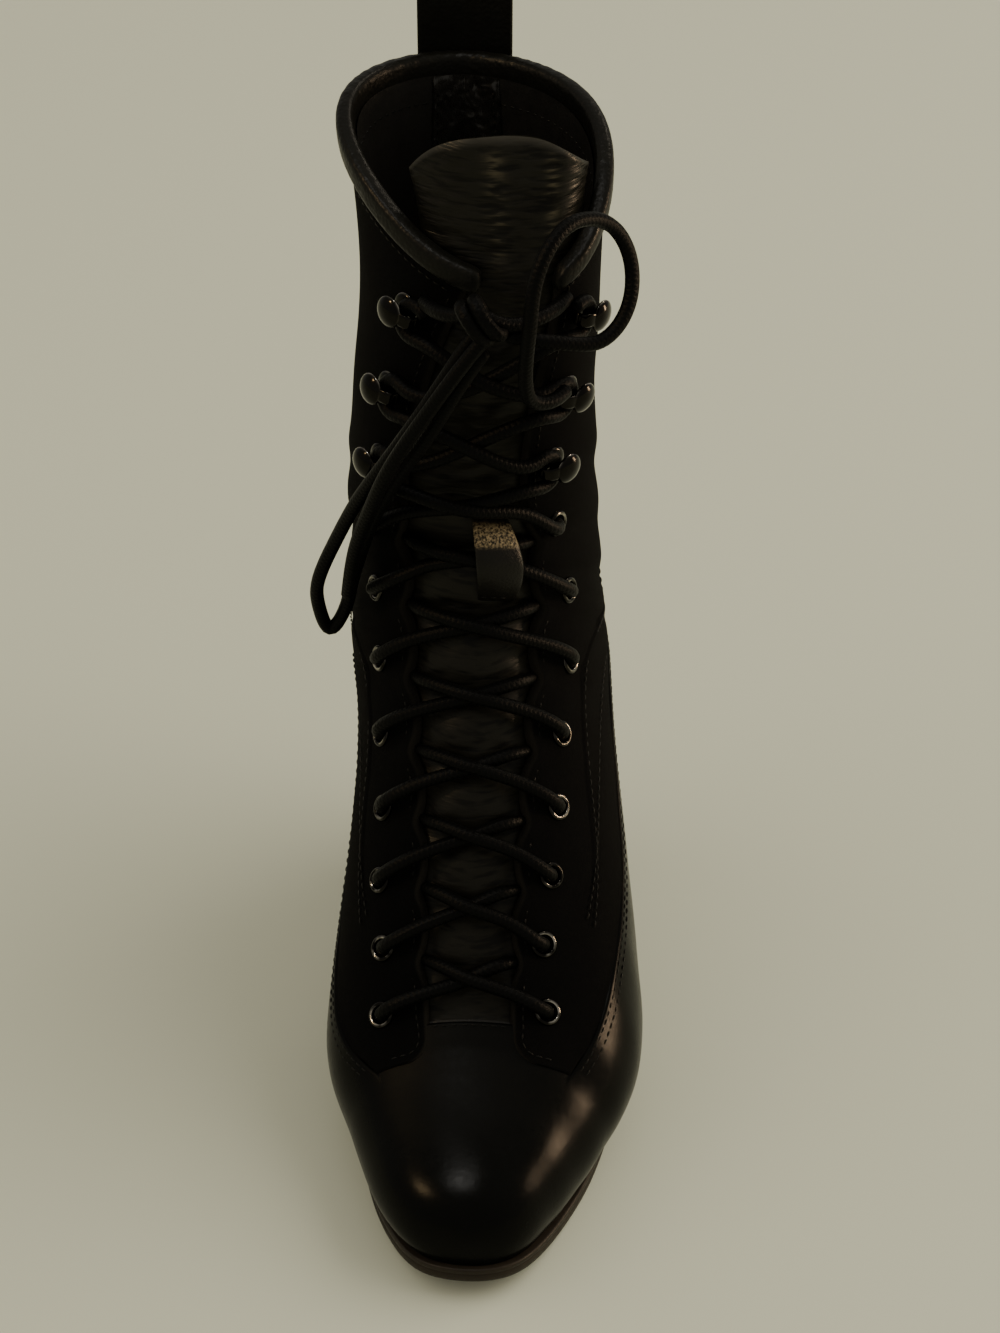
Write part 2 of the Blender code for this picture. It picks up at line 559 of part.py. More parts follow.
# Leather loop on the tongue that keeps the lace in the middle
KEEPER_FROM = 9.7
KEEPER_TO = 11.4
KEEPER_MIDDLE = 6.3
outer = []
inner = []
for v in np.linspace(0.0, 1.0, 9):
    p = KEEPER_FROM + (KEEPER_TO - KEEPER_FROM) * v
    for u in (-0.5, 0.0, 0.5):
        spot, n, up, middle = surface_frame(p, KEEPER_MIDDLE + u * KEEPER_WIDE, 1)
        rise = 0.35 + KEEPER_RISE * math.sin(math.pi * v)**0.7
        outer.append(spot + n * (rise + KEEPER_THICK - WALL - TONGUE_GAP))
        inner.append(spot + n * (rise - WALL - TONGUE_GAP))
faces = [(i * 3 + j, i * 3 + j + 1, i * 3 + j + 4, i * 3 + j + 3) for i in range(8) for j in range(2)]
shell("lace_keeper", np.array(outer), np.array(inner), faces, CALF)


def tube(name, rings, finish, collection=PARTS):
    """A closed tube through equal rings of points, with a flat face on each end."""
    count, size = rings.shape[:2]
    faces = []
    for i in range(count - 1):
        for j in range(size):
            k = (j + 1) % size
            faces.append((i * size + j, i * size + k, (i + 1) * size + k, (i + 1) * size + j))
    faces.append(tuple(reversed(range(size))))
    faces.append(tuple(range((count - 1) * size, count * size)))
    return add(name, rings.reshape(-1, 3), faces, finish, collection)


# Padded roll on the top line, from one facing round the back to the other
turn = np.arange(8) * math.pi / 4.0
rings = []
for side in (1, -1):
    shares = np.linspace(float(share_at(TOP, gap_half(TOP, side), side)), 1.0, 13)
    shares = shares if side > 0 else shares[::-1][1:]
    for t in shares:
        spot = surface(TOP, t, side)
        n = outward(TOP, t, side)
        up = spot - surface(TOP - 0.05, t, side)
        up = up / np.linalg.norm(up)
        centre = spot + up * (SEAT_GAP + ROLL_HIGH) + n * 0.9
        rings.append([centre + up * ROLL_HIGH * math.cos(w) + n * ROLL_DEEP * math.sin(w) for w in turn])
tube("collar_roll", np.array(rings), CALF)

# Strap loop sewn to the back of the shaft, standing above the collar: y, z of the middle of the strap
STRAP_PATH = [(105.3, 250.0), (107.0, 262.0), (109.8, 270.5), (112.9, 277.5), (114.0, 286.0),
              (114.0, 303.0), (115.5, 311.0), (120.0, 314.8), (124.5, 311.0), (126.0, 303.0),
              (125.0, 289.0), (121.5, 277.0), (115.5, 267.5), (110.4, 260.5), (108.0, 250.0)]
path = np.array(STRAP_PATH)
run = np.gradient(path, axis=0)
run = run / np.linalg.norm(run, axis=1, keepdims=True)
low_x = SECTIONS[-1][4]
rings = []
for (y, z), (dy, dz) in zip(path, run):
    ring = []
    for thick, order in ((-0.5, (-1.0, -0.5, 0.0, 0.5, 1.0)), (0.5, (1.0, 0.5, 0.0, -0.5, -1.0))):
        for u in order:
            bow = (u * STRAP_HALF)**2 / 80.0
            off = thick * STRAP_THICK
            ring.append((low_x + u * STRAP_HALF, y + dz * off - bow, z - dy * off))
    rings.append(ring)
tube("pull_loop", np.array(rings), CALF)


def strand(points, sides=6):
    """Rings of a lace of even thickness along a line of points."""
    line = np.asarray(points, float)
    run = np.gradient(line, axis=0)
    run = run / np.linalg.norm(run, axis=1, keepdims=True)
    lie = np.cross(run, (0.0, -0.8, 0.6))
    lie = lie / np.linalg.norm(lie, axis=1, keepdims=True)
    rise = np.cross(lie, run)
    turn = (np.arange(sides) * 2.0 * math.pi / sides)[None, :, None]
    return line[:, None] + LACE_RADIUS * (np.cos(turn) * lie[:, None] + np.sin(turn) * rise[:, None])


def lift_off(p, half, side, height):
    spot, n, up, middle = surface_frame(p, half, side)
    return spot + n * height


# Lace crossings. Each strand leaves an eyelet or hook, crosses the gap upwards and ends at the far facing.
# The strand from the lateral side lies on the other one, except inside the keeper where they meet level
ON_FACING = QUARTER_STEP + 0.35 + LACE_RADIUS
ON_TONGUE = 0.35 + LACE_RADIUS - WALL - TONGUE_GAP
CLEAR_OF_HOOK = 6.9 + 0.5 * HOOK_PLATE + 0.5 * LACE_RADIUS + 0.35
KEEPER_CROSSING = 7
FASTENERS = EYELETS + HOOKS
for number in range(1, len(FASTENERS)):
    here = FASTENERS[number - 1]
    there = FASTENERS[number]
    pair = []
    for side in (1, -1):
        spot, n, up, middle = fastener(here, side)
        far, far_n, far_up, far_middle = fastener(there, -side)
        rise = there[0] - here[0]
        edge = here[0] + 0.2 * rise
        cross = here[0] + 0.38 * rise
        end = here[0] + 0.62 * rise
        over = ON_TONGUE + (1.1 if side < 0 else 1.1 + 1.4 * LACE_RADIUS)
        if number == KEEPER_CROSSING:
            over = ON_TONGUE + 1.2
        if number >= len(EYELETS):
            over += 2.4
        points = [lift_off(edge, gap_half(edge, side) - 1.0, side, ON_FACING + 0.1),
                  lift_off(cross, 0.5, side, over)]
        if number == KEEPER_CROSSING:
            points[0] = lift_off(edge, gap_half(edge, side) + 0.5, side, ON_FACING + 0.1)
            points.insert(1, lift_off(edge + 0.1, gap_half(edge, side) - 4.5, side, over))
        if number <= len(EYELETS):
            points.insert(0, spot + n * (ON_FACING + 1.9))
        else:
            points.insert(0, spot + middle * CLEAR_OF_HOOK + up * 2.6 + n * 4.0)
            points.pop(1)
        if number < len(EYELETS):
            points.append(lift_off(end, gap_half(end, -side) - LACE_RADIUS - 1.2, -side, ON_TONGUE + 0.7))
        else:
            points.append(far + far_middle * CLEAR_OF_HOOK - far_up * 2.6 + far_n * 4.0)
        pair.append(strand(points))
    first = tube(f"lace_crossing_{number}", pair[0], CORD)
    second = tube(f"lace_crossing_{number}_under", pair[1], CORD, CUTTERS)
    boolean(first, second, "UNION")

# The tied ends: the knot between the top hooks, two loops and one end, as routes in x, y, z
CORDS = {
    "lace_knot": [(-19, 25, 250), (-14, 15, 252), (-8, 10, 254), (-3, 7, 256), (0, 6, 255), (4, 7, 253),
                  (11, 11, 252), (17, 17, 252), (21, 25.1, 252)],
    "lace_loop_left": [(-3, 7.6, 251), (-6, 7, 247), (-12, 7, 237), (-21, 9, 221), (-30, 13, 205),
                       (-39, 21, 187), (-47, 29, 167), (-53, 34, 149), (-53, 37, 138), (-50, 38, 130),
                       (-46, 37, 136), (-43, 34, 148), (-39, 28, 165), (-34, 19, 183), (-26, 13, 201),
                       (-17, 9, 217), (-9, 8, 232), (-2, 9, 243)],
    "lace_end_left": [(-1.2, 3.0, 251), (-4.4, 2.6, 247), (-11.4, 2, 237), (-20.4, 4, 222), (-29.4, 7, 205),
                      (-35.4, 13, 188), (-40.4, 20, 170), (-42.4, 24, 158), (-43.4, 27, 150)],
    "lace_loop_right": [(5, 9, 248.4), (14, 9, 247), (23, 11, 245), (30, 14, 244), (36, 18, 248),
                        (39, 22, 256), (38, 25, 266), (34, 24, 274), (27, 18, 280), (20, 10, 281),
                        (15, 4, 276), (12, 1, 267), (11, 0, 257), (10, 2, 245), (10, 5, 234), (12, 8, 228),
                        (17, 12, 226), (21, 18, 226)],
}
CORD_STEP = 9.5
for name, route in CORDS.items():
    route = np.array(route, float)
    along = np.concatenate([[0.0], np.cumsum(np.linalg.norm(np.diff(route, axis=0), axis=1))])
    count = int(round(along[-1] / CORD_STEP)) + 1
    stops = np.linspace(0.0, along[-1], count)
    line = np.stack([curve(along, route[:, k])(stops) for k in range(3)], axis=1)
    data = bpy.data.curves.new(name, "CURVE")
    data.dimensions = "3D"
    data.bevel_depth = LACE_RADIUS * MM
    data.bevel_resolution = 2
    data.use_fill_caps = True
    path = data.splines.new("POLY")
    path.points.add(count - 1)
    for point, place in zip(path.points, (line - (ORIGIN_X, ORIGIN_Y, 0.0)) * MM):
        point.co = (*place, 1.0)
    data.materials.append(CORD)
    PARTS.objects.link(bpy.data.objects.new(name, data))
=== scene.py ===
import math

import bpy
import numpy as np
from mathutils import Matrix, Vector


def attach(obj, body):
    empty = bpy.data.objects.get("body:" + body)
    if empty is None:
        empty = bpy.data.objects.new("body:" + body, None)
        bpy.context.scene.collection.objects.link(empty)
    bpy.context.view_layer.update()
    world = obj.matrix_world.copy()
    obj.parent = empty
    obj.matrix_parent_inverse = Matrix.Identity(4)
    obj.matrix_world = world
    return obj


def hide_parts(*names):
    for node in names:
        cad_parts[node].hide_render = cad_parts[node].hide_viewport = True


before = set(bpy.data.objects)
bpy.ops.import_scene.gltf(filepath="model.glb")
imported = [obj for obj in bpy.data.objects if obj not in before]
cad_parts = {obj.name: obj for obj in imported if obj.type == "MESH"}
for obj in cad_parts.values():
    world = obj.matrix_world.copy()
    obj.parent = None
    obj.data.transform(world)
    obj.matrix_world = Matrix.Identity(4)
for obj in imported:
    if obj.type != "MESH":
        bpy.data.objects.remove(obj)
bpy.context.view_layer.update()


# Camera. It stands in front of the toe, a little to the outer side and 35 degrees up, close enough for the
# collar to lean away from it.
DRAWING_ORIGIN = (-1.392, 5.4, 0.0)
CAMERA_AIM = (0.0, -10.0, 150.0)
CAMERA_FAR = 0.9
CAMERA_SIDESTEP = 0.003


def place(points):
    """Millimetres in the boot's drawing frame, whose origin lies under the instep, to metres on the floor."""
    return (np.asarray(points, float) - DRAWING_ORIGIN) * 0.001


azimuth = math.radians(1.2)
elevation = math.radians(35.0)
back = Vector((math.sin(azimuth) * math.cos(elevation), -math.cos(azimuth) * math.cos(elevation),
               math.sin(elevation)))
camera = bpy.data.objects.new("photo_camera", bpy.data.cameras.new("photo_camera"))
bpy.context.scene.collection.objects.link(camera)
camera.data.sensor_fit = "VERTICAL"
camera.data.sensor_height = 36.0
camera.data.lens = 83.86
aimed = (-back).to_track_quat("-Z", "Y")
camera.rotation_euler = aimed.to_euler()
camera.location = Vector(place(CAMERA_AIM)) + back * CAMERA_FAR + aimed @ Vector((CAMERA_SIDESTEP, 0.0, 0.0))
bpy.context.scene.camera = camera


# Tied ends of the lace: round waxed cord, 4.2 mm thick, knotted between the top hooks. One long loop and
# a free end hang to the inner side, a smaller loop stands out to the other and turns back under its hook.
LACE_RADIUS = 2.1


def colour(text):
    """An sRGB hex as linear RGBA."""
    parts = [int(text[k:k + 2], 16) / 255.0 for k in (1, 3, 5)]
    return (*[c / 12.92 if c <= 0.04045 else ((c + 0.055) / 1.055)**2.4 for c in parts], 1.0)


def add_node(owner, kind, inputs=None, to=None, **settings):
    """A shader node in its owner's tree, with its settings and links.

    An input is a value, an output, or a node, which stands for its first output. The new node's first output is
    linked to the socket of the owner that to names, if any.
    """
    tree = owner.id_data
    made = tree.nodes.new("ShaderNode" + kind)
    for name, value in settings.items():
        setattr(made, name, value)
    for name, value in (inputs or {}).items():
        if isinstance(value, bpy.types.Node):
            value = value.outputs[0]
        if isinstance(value, bpy.types.NodeSocket):
            tree.links.new(value, made.inputs[name])
        else:
            made.inputs[name].default_value = value
    if to is not None:
        tree.links.new(made.outputs[0], owner.inputs[to])
    return made


def finish(name, values):
    """A new material and its Principled shader with the values that are the same all over."""
    made = bpy.data.materials.new(name)
    made.use_nodes = True
    shader = made.node_tree.nodes["Principled BSDF"]
    for socket, value in values.items():
        shader.inputs[socket].default_value = value
    return made, shader


def map_parts(shader):
    """The two values, X and Y, that the map of a piece gives each of its points."""
    along = add_node(shader, "UVMap", uv_map="along")
    return add_node(shader, "SeparateXYZ", {"Vector": along}).outputs


def piece(name, points, faces, made, slot, uv=None):
    """A smooth mesh from points in millimetres, riding on the boot; points that no face uses are dropped."""
    faces = np.asarray(faces)
    used, faces = np.unique(faces, return_inverse=True)
    faces = faces.reshape(-1, 4)
    mesh = bpy.data.meshes.new(name)
    mesh.from_pydata(place(np.asarray(points).reshape(-1, 3)[used]).tolist(), [], faces.tolist())
    mesh.polygons.foreach_set("use_smooth", np.ones(len(faces), bool))
    if uv is not None:
        corners = np.empty(len(mesh.loops), int)
        mesh.loops.foreach_get("vertex_index", corners)
        corner_uv = np.asarray(uv).reshape(-1, 2)[used][corners]
        mesh.uv_layers.new(name="along").data.foreach_set("uv", corner_uv.ravel())
    mesh.materials.append(made)
    thing = bpy.data.objects.new(name, mesh)
    bpy.context.scene.collection.objects.link(thing)
    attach(thing, "root")
    return thing


def cells(rows, cols, closed=False):
    """Corner numbers of the quads of a grid of points, one row of quads per pair of rows."""
    wide = cols if closed else cols - 1
    i, j = np.meshgrid(np.arange(rows - 1), np.arange(wide), indexing="ij")
    k = (j + 1) % cols
    return np.stack([i * cols + j, i * cols + k, (i + 1) * cols + k, (i + 1) * cols + j], axis=-1)


def curve(knots, values, start=None, end=None):
    """A cubic through the values at the knots; an end with no slope given doesn't bend."""
    x = np.asarray(knots, float)
    y = np.asarray(values, float)
    h = np.diff(x)
    rows = np.zeros((len(x), len(x)))
    right = np.zeros(len(x))
    rows[0, 0] = 1.0
    rows[-1, -1] = 1.0
    for i in range(1, len(x) - 1):
        rows[i, i - 1:i + 2] = h[i - 1], 2.0 * (h[i - 1] + h[i]), h[i]
        right[i] = 6.0 * ((y[i + 1] - y[i]) / h[i] - (y[i] - y[i - 1]) / h[i - 1])
    if start is not None:
        rows[0, :2] = 2.0 * h[0], h[0]
        right[0] = 6.0 * ((y[1] - y[0]) / h[0] - start)
    if end is not None:
        rows[-1, -2:] = h[-1], 2.0 * h[-1]
        right[-1] = 6.0 * (end - (y[-1] - y[-2]) / h[-1])
    bend = np.linalg.solve(rows, right)

    def at(u):
        u = np.clip(np.asarray(u, float), x[0], x[-1])
        i = np.clip(np.searchsorted(x, u, side="right") - 1, 0, len(x) - 2)
        a = (x[i + 1] - u) / h[i]
        b = (u - x[i]) / h[i]
        return a * y[i] + b * y[i + 1] + ((a**3 - a) * bend[i] + (b**3 - b) * bend[i + 1]) * h[i]**2 / 6.0

    return at


def unit(vectors):
    """Vectors brought to length 1."""
    return vectors / np.linalg.norm(vectors, axis=-1, keepdims=True)


def run_along(points, axis):
    """Distance along rows or columns of a grid from its first line of points."""
    gaps = np.linalg.norm(np.diff(points, axis=axis), axis=-1)
    return np.concatenate([np.zeros_like(np.take(gaps, [0], axis)), np.cumsum(gaps, axis=axis)], axis=axis)


def smooth_line(route, step):
    """Points every step millimetres along a cubic through the route."""
    route = np.asarray(route, float)
    along = run_along(route, 0)
    stops = np.linspace(0.0, along[-1], max(int(round(along[-1] / step)), 3) + 1)
    return np.stack([curve(along, route[:, k])(stops) for k in range(3)], axis=1)


def cord_tube(line, radius, around=12):
    """Rings of a round cord along a line, turned as little as possible from one to the next, with round ends.

    Also each point's place along the cord in turns of its own thickness and its share of the way round.
    """
    line = np.asarray(line, float)
    radius = np.broadcast_to(np.asarray(radius, float), len(line)).copy()
    run = unit(np.gradient(line, axis=0))
    side = np.zeros_like(line)
    side[0] = unit(np.cross(run[0], (0.31, 0.62, 0.72)))
    for i in range(1, len(line)):
        side[i] = unit(side[i - 1] - run[i] * (side[i - 1] @ run[i]))
    other = np.cross(run, side)
    first = [line[0] - run[0] * radius[0] * d for d in (0.45, 0.3)]
    last = [line[-1] + run[-1] * radius[-1] * d for d in (0.3, 0.45)]
    line = np.vstack([first, line, last])
    side = np.vstack([side[:1], side[:1], side, side[-1:], side[-1:]])
    other = np.vstack([other[:1], other[:1], other, other[-1:], other[-1:]])
    size = np.concatenate([[0.02, 0.75 * radius[0]], radius, [0.75 * radius[-1], 0.02]])
    turn = np.arange(around + 1) * 2.0 * math.pi / around
    rings = line[:, None] + size[:, None, None] * (np.cos(turn)[None, :, None] * side[:, None]
                                                   + np.sin(turn)[None, :, None] * other[:, None])
    u = np.repeat(run_along(line, 0)[:, None] / (2.0 * LACE_RADIUS), around + 1, axis=1)
    v = np.repeat((np.arange(around + 1) / around)[None], len(line), axis=0)
    return rings, np.stack([u, v], axis=-1)


# Waxed cord: almost black, with a dull gloss that the braid breaks up.
waxed_cord, shader = finish("waxed cotton cord", {"Roughness": 0.45, "Specular IOR Level": 0.05})
parts = map_parts(shader)
strands = []
for hand in (5.0, -5.0):
    slant = add_node(shader, "Math", {0: parts["Y"], 1: hand}, operation="MULTIPLY")
    count = add_node(shader, "Math", {0: parts["X"], 1: 2.6, 2: slant}, operation="MULTIPLY_ADD")
    phase = add_node(shader, "Math", {0: count, 1: 2.0 * math.pi}, operation="MULTIPLY")
    strands.append(add_node(shader, "Math", {0: phase}, operation="SINE"))
coords = add_node(shader, "TexCoord").outputs["Object"]
# The fuzz has 2.6 fibres to the millimetre.
fuzz = add_node(shader, "TexNoise", {"Vector": coords, "Scale": 1000.0 * 2.6, "Detail": 3.0})
woven = add_node(shader, "Math", dict(enumerate(strands)), operation="MAXIMUM")
height = add_node(shader, "Math", {0: woven, 1: 0.5, 2: fuzz}, operation="MULTIPLY_ADD")
add_node(shader, "Bump", {"Height": height, "Strength": 0.8, "Distance": 0.001 * 0.11}, to="Normal")
# Painted shade: the braid's hollows are coloured darker and its raised strands paler.
painted_braid_shade = add_node(shader, "MapRange", {"Value": height, "From Min": -0.6, "From Max": 1.4})
add_node(shader, "MixRGB", {"Fac": painted_braid_shade, "Color1": colour("#040404"), "Color2": colour("#0b0b0a")},
         to="Base Color")
CORDS = {
    "lace_knot": [(-19, 25, 250), (-14, 15, 252), (-8, 10, 254), (-3, 7, 256), (0, 6, 255), (4, 7, 253),
                  (11, 11, 252), (17, 17, 252), (21, 25.1, 252)],
    "lace_loop_left": [(-3, 7.6, 251), (-6, 7, 247), (-12, 7, 237), (-21, 9, 221), (-30, 13, 205),
                       (-39, 21, 187), (-47, 29, 167), (-53, 34, 149), (-53, 37, 138), (-50, 38, 130),
                       (-46, 37, 136), (-43, 34, 148), (-39, 28, 165), (-34, 19, 183), (-26, 13, 201),
                       (-17, 9, 217), (-9, 8, 232), (-2, 9, 243)],
    "lace_end_left": [(-1.2, 3.0, 251), (-4.4, 2.6, 247), (-11.4, 2, 237), (-20.4, 4, 222), (-29.4, 7, 205),
                      (-35.4, 13, 188), (-40.4, 20, 170), (-42.4, 24, 158), (-43.4, 27, 150)],
    "lace_loop_right": [(5, 9, 248.4), (14, 9, 247), (23, 11, 245), (30, 14, 244), (36, 18, 248),
                        (39, 22, 256), (38, 25, 266), (34, 24, 274), (27, 18, 280), (20, 10, 281),
                        (15, 4, 276), (12, 1, 267), (11, 0, 257), (10, 2, 245), (10, 5, 234), (12, 8, 228),
                        (17, 12, 226), (21, 18, 226)],
}
for name, route in CORDS.items():
    line = smooth_line(route, 1.5)
    rings, uv = cord_tube(line, LACE_RADIUS)
    cord = piece(name + "_cord", rings, cells(*rings.shape[:2]), waxed_cord, "waxed_cord", uv)
    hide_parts(name)
    length = float(np.linalg.norm(np.diff(line, axis=0), axis=1).sum()) * 0.001

KNOT = np.array((-4.2, 5.4, 254.2))
KNOT_ALONG = np.array((0.88, 0.0, 0.47))
KNOT_DOWN = np.array((0.47, 0.0, -0.88))
KNOT_DEEP = np.array((0.0, 4.2, 0.0))
WRAP_PITCH = 4.0
WRAP_HALF = 5.9
turn = np.linspace(-0.7 * math.pi, 2.5 * math.pi, 64)[:, None]
wrap = KNOT + KNOT_ALONG * WRAP_PITCH * turn / (2.0 * math.pi) + KNOT_DOWN * WRAP_HALF * np.sin(turn)
rings, uv = cord_tube(wrap - KNOT_DEEP * np.cos(turn), LACE_RADIUS)
piece("lace_knot_wrap", rings, cells(*rings.shape[:2]), waxed_cord, "waxed_cord", uv)


# The last that gives the upper its shape: seventeen sections from the toe tip to the collar, each an arch
# from the front line down to the edge of the sole and, from the heel up, round to the back line.
TREAD_END = -22.0
SOLE_THICK = 5.0
SEAT_GAP = 0.3
ARCH = [(TREAD_END, SOLE_THICK), (0, 11.5), (20, 26), (40, 44), (60, 60), (80, 71), (100, 78.5), (122, 85)]
ARCH_Z = curve(*zip(*ARCH), start=0.0)


def seat_z(y):
    """Top of the sole: flat over the tread, a parabola up to the toe, the arch up to the heel seat."""
    y = np.asarray(y, float)
    spring = 7.0 * (np.clip(-64.0 - y, 0.0, None) / 50.0)**2
    return np.where(y > TREAD_END, ARCH_Z(y), SOLE_THICK + spring)


SECTION_COLUMNS = ("front_y", "front_z", "front_x", "low_y", "low_x", "lateral", "medial",
                   "end_lat", "end_med", "full_top", "full_low", "lift")
SECTIONS = [
    (-114.0, 19.5, -2.8, -114.0, -2.8, 0.0, 0.0, 119, 123, 0.10, 0.0, 0.0),
    (-109.0, 30.0, -2.6, -110.0, -2.6, 12.7, 16.5, 122, 126, 0.14, 0.0, 0.0),
    (-96.0, 36.5, -2.8, -98.0, -2.0, 22.1, 27.4, 124, 127, 0.16, 0.0, 0.0),
    (-80.0, 41.5, -3.4, -82.0, -1.2, 30.9, 34.2, 127, 123, 0.14, 0.0, 0.0),
    (-63.0, 49.0, -4.6, -60.0, 0.0, 40.3, 40.7, 129, 119, 0.08, 0.0, 0.0),
    (-47.0, 62.0, -5.5, -30.0, 0.0, 47.3, 46.2, 127, 117, 0.02, 0.0, 0.0),
    (-31.0, 84.0, -5.5, 0.0, 0.5, 46.3, 44.8, 122, 121, -0.05, 0.0, 0.0),
    (-15.0, 106.0, -5.0, 32.0, 1.0, 42.0, 41.8, 122, 127, -0.06, 0.0, 0.0),
    (0.0, 127.0, -5.0, 66.0, 1.0, 37.8, 40.2, 125, 127, -0.05, 0.0, 0.0),
    (11.0, 145.0, -5.0, 98.0, 1.5, 35.8, 42.3, 134, 135, -0.04, 0.0, 0.0),
    (17.0, 160.0, -5.0, 115.5, 1.5, 34.8, 42.0, 180, 180, -0.03, 0.0, 0.0),
    (20.0, 175.0, -6.0, 117.0, 0.5, 34.5, 40.8, 180, 180, -0.02, -0.05, 0.0),
    (21.5, 188.0, -7.0, 111.0, -2.0, 35.0, 39.5, 180, 180, 0.0, -0.08, 0.0),
    (22.0, 204.0, -6.0, 103.5, -5.0, 35.0, 37.3, 180, 180, 0.0, -0.08, 0.0),
    (22.0, 222.0, -2.5, 100.5, -7.5, 34.2, 35.6, 180, 180, 0.0, -0.06, 1.0),
    (22.0, 238.0, 2.5, 102.0, -9.0, 33.0, 35.4, 180, 180, 0.0, -0.10, 4.0),
    (23.0, 252.0, 6.5, 106.5, -10.0, 31.2, 39.2, 180, 180, 0.06, -0.26, 10.5),
]
BACK_Z = [83.8, 106.0, 142.0, 176.0, 206.0, 242.0, 280.0]
HEEL_ROW = 10
TOP = 16
SIZE = {name: curve(range(TOP + 1), [row[k] for row in SECTIONS], 0.0 if name == "front_y" else None)
        for k, name in enumerate(SECTION_COLUMNS)}
FOOT_Y = curve(range(HEEL_ROW + 1), [row[3] for row in SECTIONS[:HEEL_ROW + 1]], 0.0, 0.0)
BACK_Y = curve(range(HEEL_ROW, TOP + 1), [row[3] for row in SECTIONS[HEEL_ROW:]])
BACK_UP = curve(range(HEEL_ROW, TOP + 1), BACK_Z)
FAIR_Z = curve(range(TOP + 1), [float(seat_z(row[3])) + SEAT_GAP for row in SECTIONS[:HEEL_ROW]] + BACK_Z)
END_LAT = curve(range(HEEL_ROW + 1), [row[7] for row in SECTIONS[:HEEL_ROW + 1]])
END_MED = curve(range(HEEL_ROW + 1), [row[8] for row in SECTIONS[:HEEL_ROW + 1]])


def half_width(p, side):
    """Half the width of section p, side +1 lateral, -1 medial, in millimetres."""
    return SIZE["lateral" if side > 0 else "medial"](p)


def end_angle(p, side):
    """Angle at which the section meets the low line."""
    return np.radians(np.where(p < HEEL_ROW, END_LAT(p) if side > 0 else END_MED(p), 180.0))


def surface(p, t, side):
    """The upper's outer face at section p, share t down it, side +1 lateral, -1 medial, in millimetres.

    Across, the half width times sin(a) (1 + full cos(a)^2); along the section, 1 - cos(a). It heads for a
    fair line through the low points and turns to the low line itself, with its corner at the heel, near its
    end.
    """
    p, t = np.broadcast_arrays(np.asarray(p, float), np.asarray(t, float))
    end = end_angle(p, side)
    a = t * end
    full = SIZE["full_top"](p) + (SIZE["full_low"](p) - SIZE["full_top"](p)) * a / math.pi
    across = half_width(p, side) * np.sin(a) * (1.0 + full * np.cos(a)**2)
    along = (1.0 - np.cos(a)) / (1.0 - np.cos(end))
    low_y = np.where(p < HEEL_ROW, FOOT_Y(p), BACK_Y(p))
    low_z = np.where(p < HEEL_ROW, seat_z(low_y) + SEAT_GAP, BACK_UP(p))
    low_y = SIZE["low_y"](p) + (low_y - SIZE["low_y"](p)) * along**6
    low_z = FAIR_Z(p) + (low_z - FAIR_Z(p)) * along**6
    x = SIZE["front_x"](p) + (SIZE["low_x"](p) - SIZE["front_x"](p)) * along + side * across
    y = SIZE["front_y"](p) + (low_y - SIZE["front_y"](p)) * along
    z = SIZE["front_z"](p) + (low_z - SIZE["front_z"](p)) * along + SIZE["lift"](p) * np.sin(a)**2
    return np.stack([x, y, z], axis=-1)


def outward(p, t, side):
    """Unit normal of the upper's outer face."""
    d = 1e-3
    p, t = np.broadcast_arrays(np.asarray(p, float), np.asarray(t, float))
    up = surface(np.minimum(p + d, TOP), t, side) - surface(np.maximum(p - d, 0.0), t, side)
    down = surface(p, np.minimum(t + d, 1.0), side) - surface(p, np.maximum(t - d, 0.0), side)
    n = side * np.cross(down, up)
    return n / np.maximum(np.linalg.norm(n, axis=-1, keepdims=True), 1e-12)


# Vamp and foxing: one smooth black calf leather that covers the toe and runs back along both sides to
# the heel, where it stands up as the counter. Its top edge lies on the suede and is sewn down twice.
FOX_LATERAL = [(3.9, 0.345), (4.5, 0.385), (5.3, 0.447), (6.2, 0.555), (7, 0.64), (8, 0.69), (9, 0.69),
               (10, 0.65), (10.8, 0.71), (11.4, 0.80)]
FOX_MEDIAL = [(3.9, 0.363), (4.5, 0.471), (5.3, 0.549), (6.2, 0.623), (7, 0.675), (8, 0.70), (9, 0.69),
              (10, 0.65), (10.8, 0.71), (11.4, 0.80)]
FOXING = {1: curve(*zip(*FOX_LATERAL)), -1: curve(*zip(*FOX_MEDIAL))}
COUNTER_TOP = 11.4
VAMP_BACK = 4.47
FOXING_STEP = 1.4
WALL = 2.2
FLEX_FOLD = (4.02, 0.14, 0.14)
FLEX_SPOT = (-8.0, -66.0, 48.0)
THROAT_COLS = 26


def step(x, low, high):
    """0 below low, 1 above high, an even S between them."""
    u = np.clip((x - low) / (high - low), 0.0, 1.0)
    return u * u * (3.0 - 2.0 * u)


def rounded(distance, radius):
    """Height, 0 to 1, of a quarter round at a distance from the edge of a sheet."""
    return np.sqrt(np.clip(1.0 - (1.0 - np.clip(distance / radius, 0.0, 1.0))**2, 0.0, 1.0))


